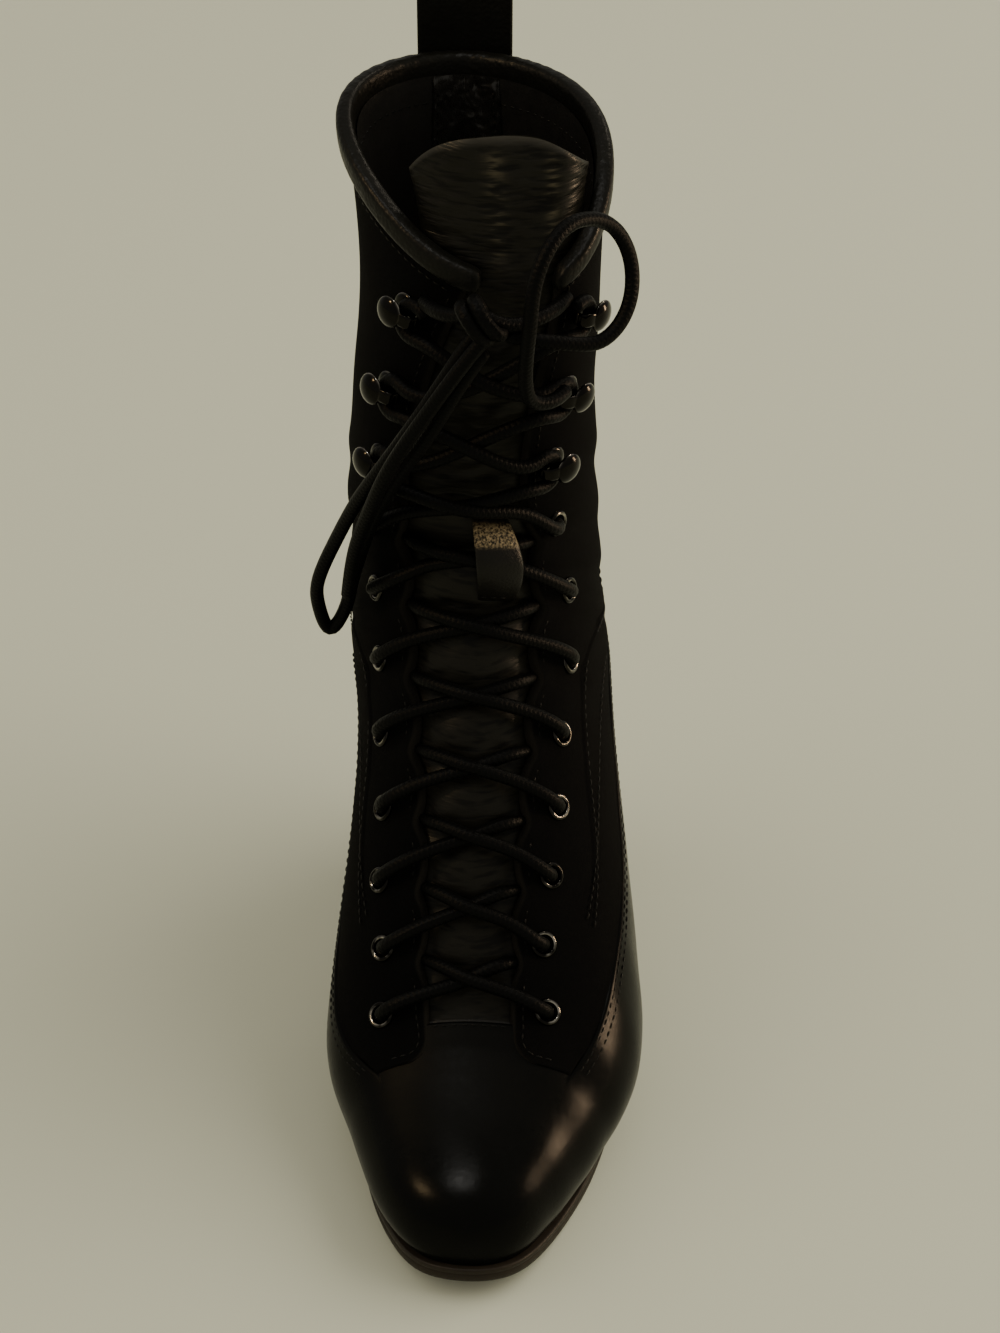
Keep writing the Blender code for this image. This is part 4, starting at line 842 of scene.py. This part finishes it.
EYELET_PROFILE = [(2.6, -2.6, 0.0), (2.6, 0.4, 0.0), (2.66, 1.1, 0.1), (2.9, 1.55, 0.7), (3.2, 1.7, 1.0),
                  (3.5, 1.66, 0.25), (3.8, 1.5, 0.05), (4.05, 1.2, 0.05), (4.15, 0.9, 0.3), (4.1, 0.5, 0.0)]
shapes = []
for side in (1, -1):
    for row in EYELETS:
        shapes.append(turned(EYELET_PROFILE, *fastener(row, side), side))
# Black nickel: a dark mirror, with pale bare metal in patches where it is rubbed.
nickel, shader, coords = toned("black nickel", 0.5, "#131211", "#22211f", 3.0, (0.1, 0.2), 0.8,
                               {"Metallic": 1.0})
plain = shader.inputs["Base Color"].links[0].from_socket
patchy = add_node(shader, "TexNoise", {"Vector": coords, "Scale": 1000.0 / 4.0})
scuffs = add_node(shader, "MapRange", {"Value": patchy, "From Min": 0.42, "From Max": 0.62})
wear_and_glint_mask = add_node(shader, "Math", {0: map_parts(shader)["X"], 1: scuffs}, operation="MULTIPLY")
add_node(shader, "MixRGB", {"Fac": wear_and_glint_mask, "Color1": plain, "Color2": colour("#a39e95")}, to="Base Color")
eyelets = metal("eyelets", shapes)
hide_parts(*[f"eyelet_{hand}_{k}" for hand in ("lateral", "medial") for k in range(1, 9)])


# Lace hooks: a domed plate riveted to the facing, a neck bent over towards the middle, and a domed round cap
# that the lace slips under.
HOOKS = [(12.7, 7.0, 7.4), (13.9, 8.2, 8.8), (15.15, 8.6, 10.2)]
NECK_HALF = 2.0
NECK_PATH = [(0.5, 0.7, NECK_HALF), (4.2, 0.8, NECK_HALF), (6.3, 1.9, NECK_HALF), (6.9, 3.6, NECK_HALF),
             (6.3, 5.3, NECK_HALF), (4.2, 6.3, NECK_HALF), (0.5, 6.5, NECK_HALF)]
PLATE_HIGH = 0.8
CAP_BACK = 0.8
PLATE_PROFILE = [(4.2, 0.75, 0.0), (4.1, 1.2, 0.4), (3.6, 1.6, 0.0), (2.6, 1.85, 0.0), (0.02, 1.95, 0.0)]
CAP_PROFILE = [(0.02, 6.6, 0.0), (3.6, 6.6, 0.0), (4.4, 6.75, 0.3), (4.7, 7.1, 1.0), (4.66, 7.4, 0.8),
               (4.5, 7.65, 0.1), (4.2, 7.95, 0.0), (3.5, 8.4, 0.0), (2.4, 8.85, 0.0), (1.1, 9.1, 0.0),
               (0.02, 9.15, 0.0)]
path = smooth_line(NECK_PATH, 0.5)
run = unit(np.gradient(path[:, :2], axis=0))
u = bunched(13)
shapes = []
for side in (1, -1):
    for row in HOOKS:
        spot, n, up, toward = fastener(row, side)
        sheets = []
        for hand in (1.0, -1.0):
            thick = hand * 0.5 * np.sqrt(np.clip(1.0 - np.abs(u)**6, 0.05, 1.0))
            local = path[:, :1] - run[:, 1:] * thick[None]
            high = PLATE_HIGH + path[:, 1:2] + run[:, :1] * thick[None]
            wide = path[:, 2:] * u[None]
            sheets.append(spot + local[..., None] * toward + high[..., None] * n + wide[..., None] * up)
        loop = np.concatenate([sheets[0], sheets[1][:, ::-1]], axis=1)
        quads = cells(*loop.shape[:2], closed=True)
        shapes.append((loop, quads if side < 0 else quads[..., ::-1], np.zeros(loop.size // 3)))
        for profile in (PLATE_PROFILE, CAP_PROFILE):
            shapes.append(turned(profile, spot - toward * CAP_BACK, n, up, toward, side))
hooks = metal("hooks", shapes)
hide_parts(*[f"hook_{hand}_{k}" for hand in ("lateral", "medial") for k in range(1, 4)])


# Lace through the eyelets: it comes up out of each eyelet, crosses the tongue and dives under the other
# facing to the next one, and goes once behind each hook. The strand from the outer side lies on top.
def lift_off(p, half, side, height):
    """A point off the upper at a height, half millimetres from the front line."""
    spot, n, up, toward = surface_frame(p, half, side)
    return spot + n * height


FASTENERS = EYELETS + HOOKS
ON_FACING = QUARTER_STEP + CLEAR + LACE_RADIUS
ON_TONGUE = CLEAR + LACE_RADIUS - TONGUE_DEEP
UNDER_KEEPER = 7
HOOK_TURN = [(9.5, -4.6, 4.2, 1.0), (4.6, -5.0, 4.2, 0.95), (1.7, -2.6, 4.3, 0.9), (1.4, 0.0, 4.3, 0.9),
             (1.7, 2.6, 4.3, 0.9), (4.6, 5.0, 4.2, 0.95), (9.5, 4.6, 4.2, 1.0)]
shapes = []
maps = []
for start in (1, -1):
    stops = []
    side = start
    for number, (here, there) in enumerate(zip(FASTENERS, FASTENERS[1:]), 1):
        rise = there[0] - here[0]
        spot, n, up, toward = fastener(here, side)
        far, far_n, far_up, far_toward = fastener(there, -side)
        edge = here[0] + 0.2 * rise
        end = here[0] + 0.62 * rise
        over = ON_TONGUE + (1.1 if side < 0 else 1.1 + 1.4 * LACE_RADIUS)
        if number == UNDER_KEEPER:
            over = ON_TONGUE + 1.2 + (1.5 if side > 0 else 0.0)
        if number >= len(EYELETS):
            over += 2.4
        if number <= len(EYELETS):
            stops += [(spot - n * 3.7, 0.75), (spot + n * 0.6, 1.0),
                      (spot + n * 3.1 + toward * 2.4 + up * 0.5, 1.0),
                      (lift_off(edge, GAP[side](edge) - 1.0, side, ON_FACING + 0.1), 1.0)]
        if number == UNDER_KEEPER:
            stops.append((lift_off(edge + 0.1, GAP[side](edge) - 5.5, side, over), 1.0))
        stops.append((lift_off(here[0] + 0.38 * rise, 0.5, side, over), 1.0))
        if number < len(EYELETS):
            stops += [(lift_off(end, GAP[-side](end) - LACE_RADIUS - 1.2, -side, ON_TONGUE + 0.7), 1.0),
                      (lift_off(here[0] + 0.76 * rise, GAP[-side](end) + 4.0, -side, -3.4), 0.7)]
        else:
            stops += [(far + far_toward * inward + far_up * higher + far_n * off, width)
                      for inward, higher, off, width in HOOK_TURN]
        side = -side
    route = np.array([spot for spot, width in stops])
    line = smooth_line(route, 1.3)
    gaps = run_along(route, 0)
    width = np.interp(np.linspace(0.0, gaps[-1], len(line)), gaps, [width for spot, width in stops])
    rings, uv = cord_tube(line, LACE_RADIUS * width)
    shapes.append((rings, cells(*rings.shape[:2])))
    maps.append(uv.reshape(-1, 2))
lace = piece("lace", *joined(shapes), waxed_cord, "waxed_cord", np.vstack(maps))
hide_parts(*[f"lace_crossing_{k}" for k in range(1, 11)])


# Sewing: black waxed thread along the facings, round the tabs, twice along the foxing, along the back panel,
# under the collar inside and out, round the lining's patch and across the keeper's end.
STITCH_LONG = 2.1
STITCH_GAP = 0.8
THREAD_RADIUS = 0.27
ON_QUARTER = QUARTER_STEP + 0.02
ON_PANEL = 1.12
PATCH_SEAM = PATCH_HALF - 1.9


def stitches(line, n):
    """Short round-ended rods of thread along a line on the surface, sunk at both ends, and their faces."""
    at = run_along(line, 0)
    count = int(at[-1] // (STITCH_LONG + STITCH_GAP))
    starts = (np.arange(count) + 0.1) * (STITCH_LONG + STITCH_GAP)
    spots = starts[:, None] + STITCH_LONG * np.linspace(0.0, 1.0, 5)[None]
    mid = np.stack([np.interp(spots, at, line[:, k]) for k in range(3)], axis=-1)
    out = np.stack([np.interp(spots, at, n[:, k]) for k in range(3)], axis=-1)
    wide = np.cross(unit(np.gradient(mid, axis=1)), out)
    sink = THREAD_RADIUS * np.array([-0.8, -0.1, 0.1, -0.1, -0.8])
    fat = THREAD_RADIUS * np.array([0.5, 0.95, 1.0, 0.95, 0.5])
    turn = np.arange(6) * math.pi / 3.0
    spoke = np.cos(turn)[:, None] * wide[:, :, None] + np.sin(turn)[:, None] * out[:, :, None]
    rings = mid[:, :, None] + out[:, :, None] * sink[:, None, None] + fat[:, None, None] * spoke
    quad = cells(len(sink), len(turn), closed=True).reshape(-1, 4)
    return rings, quad[None] + len(sink) * len(turn) * np.arange(count)[:, None, None]


def beside(q, edge, side, far):
    """Share down each section that lies far millimetres beyond an edge."""
    scale = np.linalg.norm(surface(q, edge + 0.01, side) - surface(q, edge, side), axis=1) / 0.01
    return edge + far / scale


seams = []
for side in (1, -1):
    q = np.linspace(4.5, 15.9, 400)
    seams.append((q, beside(q, facing_edge(q, side), side, 3.4), side, ON_QUARTER))
    c = np.linspace(0.0, 1.0, 120) * 0.5 * math.pi
    q = np.concatenate([np.linspace(4.5, 4.27, 30), 4.27 - 0.25 * np.sin(c), np.full(60, 4.02)])
    t = np.concatenate([np.zeros(30), 0.055 * (1.0 - np.cos(c)), 0.055 + np.linspace(0.002, 0.09, 60)])
    seams.append((q, facing_edge(4.5, side) + 0.034 + t, side, ON_QUARTER))
    q = np.linspace(4.02, 11.2, 400)
    for far in (2.0, 4.4):
        seams.append((q, beside(q, FOXING[side](q), side, far), side, FOXING_STEP * step(q, 3.7, 4.6) + 0.02))
    q = np.linspace(5.9, 15.9, 300)
    seams.append((q, beside(q, PANEL_FRONT(q), side, 1.8), side, ON_PANEL))
    q = np.linspace(5.95, 9.0, 160)
    seams.append((q, beside(q, PANEL_LOW(q), side, -1.8), side, ON_PANEL))
    t = np.linspace(facing_edge(15.8, side) + 0.03, 0.995, 300)
    seams.append((np.full(300, 15.85), t, side, 1.0))
inner_seams = []
for side in (1, -1):
    seams.append((np.full(120, 4.4), np.linspace(0.002, float(facing_edge(4.55, side)), 120), side, 0.05))
    t = np.linspace(facing_edge(15.7, side) + 0.06, 0.995, 300)
    inner_seams.append((np.full(300, 15.87), t, side, -WALL))
    q = np.linspace(PATCH_LOW + 0.05, 15.98, 100)
    inner_seams.append((q, back_share(q, PATCH_SEAM, side), side, -WALL - PATCH_THICK))
    q = np.full(60, PATCH_LOW + 0.055)
    inner_seams.append((q, back_share(q, np.linspace(0.0, PATCH_SEAM, 60), side), side, -WALL - PATCH_THICK))
shapes = [stitches(*keeper_seam)]
for q, t, side, height in seams + inner_seams:
    n = outward(q, t, side)
    line = surface(q, t, side) + n * np.broadcast_to(height, q.shape)[:, None]
    shapes.append(stitches(line, n if np.max(height) > 0.0 else -n))
# Waxed thread: near black, with a small dull gloss on each stitch.
thread, shader = finish("black waxed thread", {"Roughness": 0.42, "Base Color": colour("#10100e"),
                                               "Specular IOR Level": 0.1})
coords = add_node(shader, "TexCoord").outputs["Object"]
# Three fibres to the millimetre.
fuzz = add_node(shader, "TexNoise", {"Vector": coords, "Scale": 1000.0 * 3.0})
add_node(shader, "Bump", {"Height": fuzz, "Strength": 0.5, "Distance": 0.001 * 0.1}, to="Normal")
piece("stitching", *joined(shapes), thread, "waxed_cord")


# Sole: dark leather, 5 mm thick, with a narrow ledge round the vamp, an inked edge with one groove, a toe
# that springs off the floor and a shank that climbs to the heel.
LEDGE = 2.2
INSET = 6.0


def sole_edge(grow):
    """The outline of the upper's underside moved outwards by grow, by half as much behind the tread: its
    lateral and its medial half, each from the toe to the heel."""
    q = np.concatenate([np.linspace(0.0, 1.0, 24)**1.3, np.linspace(1.06, 9.0, 110),
                        np.linspace(9.05, 10.0, 26)])
    loops = []
    for side in (1, -1):
        edge = surface(q, 1.0, side)[:, :2]
        far = np.full(len(q), grow)
        if grow > 0.0:
            far = far * (1.0 - 0.5 * np.clip((edge[:, 1] - TREAD_END) / 50.0, 0.0, 1.0))
        run = np.gradient(edge, axis=0)
        run[0] = (side, 0.0)
        run[-1] = (-side, 0.0)
        loops.append(edge + far[:, None] * unit(np.stack([run[:, 1], -run[:, 0]], axis=1) * side))
    return loops


def sole_drop(y):
    """Upright thickness of the sole: full over the tread, thinner and square to the slope behind it."""
    slope = seat_z(y + 0.5) - seat_z(y - 0.5)
    thick = SOLE_THICK - 1.2 * np.clip((y - TREAD_END) / 40.0, 0.0, 1.0)
    return np.where(y > TREAD_END, thick * np.sqrt(1.0 + slope**2), SOLE_THICK)


def at_depth(flat, down):
    """An outline seen from above, at a share of the way down through the sole."""
    return np.column_stack([flat, seat_z(flat[:, 1]) - down * sole_drop(flat[:, 1])])


def layered(shader, coords, flat, fibre_mm, strength):
    """Relief of fibres fibre_mm long and so many times flatter, as in a cut edge of leather."""
    split = add_node(shader, "Mapping", {"Vector": coords, "Scale": (1.0, 1.0, flat)})
    fibres = add_node(shader, "TexNoise", {"Vector": split, "Scale": 1000.0 / fibre_mm, "Detail": 5.0})
    add_node(shader, "Bump", {"Height": fibres, "Strength": strength, "Distance": 0.001 * 0.3}, to="Normal")


EDGE_PROFILE = [(-INSET, 0.0), (-0.7, 0.0), (-0.2, 0.03), (0.0, 0.12), (0.0, 0.34), (-0.25, 0.40),
                (0.0, 0.46), (0.05, 0.7), (-0.05, 0.88), (-0.35, 0.97), (-1.0, 1.0)]
sides = []
for edge, inset in zip(sole_edge(LEDGE), sole_edge(-INSET)):
    strips = [at_depth(edge + (inset - edge) * (-off / (LEDGE + INSET)), down) for off, down in EDGE_PROFILE]
    sides.append(np.stack(strips, axis=1))
low, far = sides[0][:, -1, :2], sides[1][:, -1, :2]
tread = [at_depth(low + (far - low) * share, 1.0) for share in np.linspace(0.0, 1.0, 17)[1:-1]]
loop = np.concatenate([sides[0], np.stack(tread, axis=1), sides[1][:, ::-1]], axis=1)
# Sole leather: dark brown and dull, with fibres along its cut edge.
sole_leather, shader, coords = toned("dark sole leather", 0.15, "#1a1611", "#312920", 7.0, (0.38, 0.6), 2.0)
layered(shader, coords, 6.0, 2.2, 0.4)
sole = piece("leather_sole", loop, cells(*loop.shape[:2]), sole_leather, "dark_sole_leather")
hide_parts("outsole")


# Heel: a block of stacked leather lifts that narrows to a plain D, and a rubber top lift on its foot. The
# joints between the lifts are shallow grooves.
HEEL_FRONT = 60.0
FOOT_FRONT = 67.0
FOOT_X = 0.71
FOOT_Y_MIDDLE = 86.0
FOOT_RADIUS = 23.0
HEEL_LOW = 6.3
TO_MIDDLE = 60.0
LIFT_PROFILE = [(TO_MIDDLE, 6.0), (0.0, 6.0), (0.0, 5.8), (0.0, 0.7), (0.5, 0.15), (1.2, 0.0),
                (TO_MIDDLE, 0.0)]
LIFT_THICK = 4.6
outer, inner = sole_edge(1.6)
behind = outer[:, 1] > HEEL_FRONT + 3.0
seat = np.vstack([outer[behind], inner[inner[:, 1] > HEEL_FRONT + 3.0][::-1][1:]])
head = np.vstack([[[seat[0, 0], HEEL_FRONT]], seat, [[seat[-1, 0], HEEL_FRONT]]])
turn = np.linspace(0.0, math.pi, len(head) - 2)
bow = np.stack([FOOT_X + FOOT_RADIUS * np.cos(turn), FOOT_Y_MIDDLE + FOOT_RADIUS * np.sin(turn)], axis=1)
foot = np.vstack([[FOOT_X + FOOT_RADIUS, FOOT_FRONT], bow, [FOOT_X - FOOT_RADIUS, FOOT_FRONT]])
levels = np.linspace(0.0, 1.0, 97)
head_z = seat_z(head[:, 1]) - sole_drop(head[:, 1]) - SEAT_GAP
heights = head_z[None] + (HEEL_LOW - head_z)[None] * levels[:, None]
groove = 0.22 * np.exp(-((((heights - HEEL_LOW) / LIFT_THICK) % 1.0 - 0.5) / 0.08)**2)
outline = head[None] + (foot - head)[None] * (1.0 - (1.0 - levels)**1.35)[:, None, None]
outline = outline + unit(outline.mean(axis=1, keepdims=True) - outline) * groove[..., None]
rings = np.concatenate([outline, heights[..., None]], axis=2)
# Stacked leather: almost black brown with a waxed gloss, and fibres along each lift.
stacked, shader, coords = toned("stacked leather", 0.18, "#120e0b", "#241a13", 9.0, (0.32, 0.5), 2.5)
layered(shader, coords, 9.0, 3.5, 0.35)
quads = cells(*rings.shape[:2], closed=True)[..., ::-1]
heel = piece("stacked_heel", rings, quads, stacked, "dark_sole_leather")
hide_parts("heel")
toward = foot.mean(axis=0) - foot
far = np.linalg.norm(toward, axis=1, keepdims=True)
lift = []
for inset, z in LIFT_PROFILE:
    lift.append(np.column_stack([foot + toward / far * np.minimum(inset, far * 0.98), np.full(len(foot), z)]))
lift = np.array(lift)
# Heel rubber: a dull grey black, finely scuffed.
rubber, shader, coords = toned("black heel rubber", 0.15, "#0c0c0c", "#1a1918", 5.0, (0.6, 0.8), 1.5)
scuffs = add_node(shader, "TexNoise", {"Vector": coords, "Scale": 1000.0 / 0.6, "Detail": 3.0})
add_node(shader, "Bump", {"Height": scuffs, "Strength": 0.3, "Distance": 0.001 * 0.2}, to="Normal")
quads = cells(*lift.shape[:2], closed=True)[..., ::-1]
top_lift = piece("rubber_top_lift", lift, quads, rubber, "black_rubber")
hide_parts("heel_top_lift")


# Floor and light: a plain pale table top in a soft, slightly warm room. A wide bounce from each side lights
# it, and four small lamps, above, right, left and behind, only draw highlights on the leather and the metal.
floor_mesh = bpy.data.meshes.new("floor")
floor_mesh.from_pydata([(-3, -3, 0), (3, -3, 0), (3, 3, 0), (-3, 3, 0)], [], [(0, 1, 2, 3)])
floor = bpy.data.objects.new("floor", floor_mesh)
bpy.context.scene.collection.objects.link(floor)
# Table: pale, even and matt, so the boot stands out dark against it.
paper, shader = finish("pale table", {"Base Color": colour("#e4e4cb"), "Roughness": 0.85,
                                      "Specular IOR Level": 0.2})
floor_mesh.materials.append(paper)

world = bpy.data.worlds.new("soft room")
bpy.context.scene.world = world
world.use_nodes = True
world.node_tree.nodes["Background"].inputs["Color"].default_value = colour("#fffaec")
world.node_tree.nodes["Background"].inputs["Strength"].default_value = 0.47
LIGHTS = [("overhead_lamp", (-0.24, -0.16, 1.65), (0.0, 0.0, 0.0), (0.14, 0.14), 5.0, "#fffcf4", True),
          ("right_window", (1.2, 0.2, 0.3), (0.0, -0.05, 0.05), (0.14, 0.42), 12.5, "#ffd9ae", True),
          ("left_lamp", (-0.84, -0.28, 0.9), (0.0, -0.05, 0.05), (0.1, 0.1), 5.5, "#ffd9a0", True),
          ("back_lamp", (0.7, 1.0, 1.35), (0.0, 0.0, 0.25), (0.16, 0.16), 4.0, "#fff0d8", True),
          ("right_bounce", (1.7, 0.3, 1.5), (0.4, 0.1, 0.0), (2.2, 2.2), 29.0, "#fffaec", False),
          ("left_bounce", (-1.7, -0.1, 1.2), (-0.2, 0.0, 0.1), (2.0, 2.0), 6.5, "#fffaec", False)]
for name, spot, aim, (wide, tall), power, hue, gloss in LIGHTS:
    data = bpy.data.lights.new(name, "AREA")
    data.shape = "RECTANGLE"
    data.size = wide
    data.size_y = tall
    data.energy = power
    data.color = colour(hue)[:3]
    lamp = bpy.data.objects.new(name, data)
    bpy.context.scene.collection.objects.link(lamp)
    lamp.location = spot
    lamp.visible_diffuse = not gloss
    lamp.visible_glossy = gloss
    lamp.rotation_euler = (Vector(aim) - Vector(spot)).to_track_quat("-Z", "Y").to_euler()
